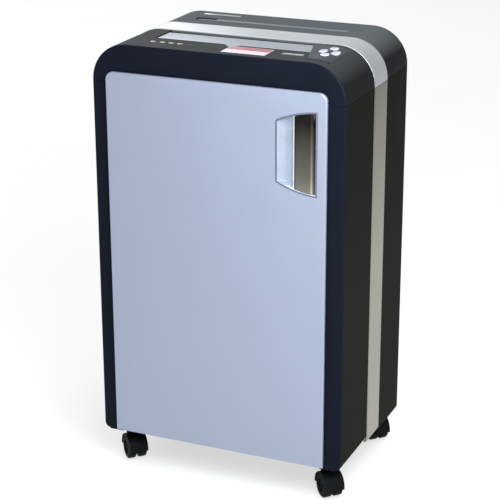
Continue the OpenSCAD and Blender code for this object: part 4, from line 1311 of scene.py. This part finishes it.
class SHREDDER_OT_casters(bpy.types.Operator):
    """Swivel plates, hoods and twin wheels of the casters"""
    bl_idname = "shredder.casters"
    bl_label = "Casters"

    def execute(self, context):
        softened_node("caster_plates", "swivel_plates", 0.4)
        for corner in CASTERS:
            softened_node("hood_" + corner, "caster_hood_" + corner, 0.9)
            node = "wheels_" + corner
            low, high = corners(node)
            centre, axis = caster_axis(corner)
            r = (high.z - low.z) / 2
            inner, outer = 3.4, self.half_width(node, centre, axis)
            profile = [(0, outer - 1.6), (3.2, outer - 1.6), (3.6, outer - 2.4),
                       (r * 0.56, outer - 2.4), (r * 0.6, outer - 0.3), (r * 0.66, outer),
                       (r * 0.8, outer), (r * 0.82, outer - 0.5), (r * 0.84, outer - 0.1),
                       (r * 0.93, outer - 0.4), (r * 0.985, outer - 1.3), (r, outer - 2.8),
                       (r, inner + 0.5), (r * 0.98, inner), (r * 0.9, inner), (2.9, inner),
                       (2.9, 0)]
            bm = bmesh.new()
            for way in (-1, 1):
                lathe(bm, profile, centre, axis * way, 48)
            stand_in("twin_wheels_" + corner, bm, ["wheel_black"], node)
        return {"FINISHED"}

    def half_width(self, node, centre, axis):
        """Half of the pair's width along its axle."""
        return max(abs((v.co / MM - centre).dot(axis))
                   for v in frame["nodes"][node].data.vertices)


# ---- Stage ----

# Lights: name, place, aim, sides, power in watts and colour
LIGHTS = (
    ("top_box", (0.2, 0.6, 3.4), (0, 0, 0.4), (3.0, 2.4), 34, (1.0, 1.0, 1.0)),
    ("back_box", (-3.0, 3.3, 2.4), (0, 0, 0.6), (2.6, 1.8), 34, (0.97, 0.99, 1.0)),
    ("key_box", (0.6, -0.68, 0.98), (0.14, -0.13, 0.5), (0.75, 0.75), 17, (0.98, 1.0, 1.0)),
)
# Section of the floor and its backdrop, in metres: (distance out, height)
FLOOR_PROFILE = ((0.0, 0.0), (6.0, 0.0), (9.0, 0.3), (11.0, 1.5), (12.0, 4.0))
FLOOR_DROP = 0.0002                  # metres from the wheels down to the floor


def area_light(name, place, aim, size, power, colour):
    data = bpy.data.lights.new(name, "AREA")
    data.shape = "RECTANGLE"
    data.size, data.size_y = size
    data.energy = power
    data.color = colour
    lamp = new_object(name, data)
    lamp.location = place
    lamp.visible_camera = False
    lamp.rotation_euler = (Vector(aim) - Vector(place)).to_track_quat("-Z", "Y").to_euler()


class SHREDDER_OT_stage(bpy.types.Operator):
    """Pale floor, soft studio light and the camera"""
    bl_idname = "shredder.stage"
    bl_label = "Stage"

    def execute(self, context):
        stage = context.scene.shredder_stage
        self.camera(context, stage)
        self.floor()
        self.lights(context, stage)
        return {"FINISHED"}

    def camera(self, context, stage):
        yaw, pitch = stage.yaw, stage.pitch
        ahead = Vector((-math.sin(yaw) * math.cos(pitch), math.cos(yaw) * math.cos(pitch),
                        -math.sin(pitch)))
        right = Vector((math.cos(yaw), math.sin(yaw), 0))
        up = right.cross(ahead)
        c, s = math.cos(stage.roll), math.sin(stage.roll)
        right, up = c * right + s * up, c * up - s * right
        data = bpy.data.cameras.new("camera")
        data.lens = stage.lens
        data.sensor_width = 36
        data.clip_end = 50
        camera = new_object("camera", data)
        turn = Matrix((right, up, -ahead)).transposed().to_4x4()
        place = Vector(stage.place) + Vector((0, FRONT * MM, TOP * MM))
        camera.matrix_world = Matrix.Translation(place) @ turn
        context.scene.camera = camera

    def floor(self):
        """A wide floor that bends up into a distant backdrop on all sides."""
        steps = 48
        bm = bmesh.new()
        rows = []
        for i in range(steps):
            a = 2 * math.pi * i / steps
            rows.append([(r * math.cos(a), r * math.sin(a), z - FLOOR_DROP)
                         for r, z in FLOOR_PROFILE])
        loft(bm, rows, closed=False, cap=False, joined=True)
        bmesh.ops.remove_doubles(bm, verts=bm.verts, dist=1e-4)
        mesh = new_mesh("floor", bm, scale=1)
        smooth(mesh)
        material, tree, shader, place = new_material("floor_paint")
        clouds = noise_field(tree, place, 2.0, 3.0)
        pale = ramped(tree, clouds, [(0.0, [0.4] * 3), (1.0, [0.44] * 3)])
        link(tree, pale, shader.inputs["Base Color"])
        shader.inputs["Roughness"].default_value = 0.8
        shader.inputs["Emission Color"].default_value = (1, 1, 1, 1)
        shader.inputs["Emission Strength"].default_value = 0.6
        mesh.materials.append(material)
        new_object("floor", mesh)

    def lights(self, context, stage):
        world = bpy.data.worlds.new("surroundings")
        world.use_nodes = True
        background = world.node_tree.nodes["Background"]
        background.inputs["Color"].default_value = (1.0, 1.0, 1.0, 1)
        background.inputs["Strength"].default_value = stage.sky
        context.scene.world = world
        for light in LIGHTS:
            area_light(*light)
        context.scene.view_settings.view_transform = "Standard"


class SHREDDER_PT_panel(bpy.types.Panel):
    """Lists the steps that build the shredder"""
    bl_idname = "SHREDDER_PT_panel"
    bl_label = "Shredder"
    bl_space_type = "VIEW_3D"
    bl_region_type = "UI"
    bl_category = "Shredder"

    def draw(self, context):
        for step in STEPS:
            self.layout.operator(step.bl_idname)
        for group in GROUPS:
            settings = getattr(context.scene, group)
            for name in settings.__annotations__:
                self.layout.prop(settings, name)


STEPS = (
    SHREDDER_OT_stage, SHREDDER_OT_head_covers, SHREDDER_OT_trim_band, SHREDDER_OT_side_shells,
    SHREDDER_OT_paper_throat, SHREDDER_OT_controls, SHREDDER_OT_top_details, SHREDDER_OT_door,
    SHREDDER_OT_handle, SHREDDER_OT_door_hardware, SHREDDER_OT_rear_panel, SHREDDER_OT_drive_parts,
    SHREDDER_OT_cutters, SHREDDER_OT_motor, SHREDDER_OT_control_board, SHREDDER_OT_waste_bin,
    SHREDDER_OT_casters,
)
GROUPS = {
    "shredder_sizes": ShredderSizes, "shredder_colours": ShredderColours,
    "shredder_stage": StageSettings,
}


def register():
    for group in GROUPS.values():
        bpy.utils.register_class(group)
    for step in STEPS:
        bpy.utils.register_class(step)
    bpy.utils.register_class(SHREDDER_PT_panel)
    for name, group in GROUPS.items():
        setattr(bpy.types.Scene, name, PointerProperty(type=group))


def unregister():
    for name in GROUPS:
        delattr(bpy.types.Scene, name)
    bpy.utils.unregister_class(SHREDDER_PT_panel)
    for step in STEPS:
        bpy.utils.unregister_class(step)
    for group in GROUPS.values():
        bpy.utils.unregister_class(group)


def main():
    register()
    for step in STEPS:
        family, action = step.bl_idname.split(".")
        getattr(getattr(bpy.ops, family), action)()


if __name__ == "__main__":
    main()
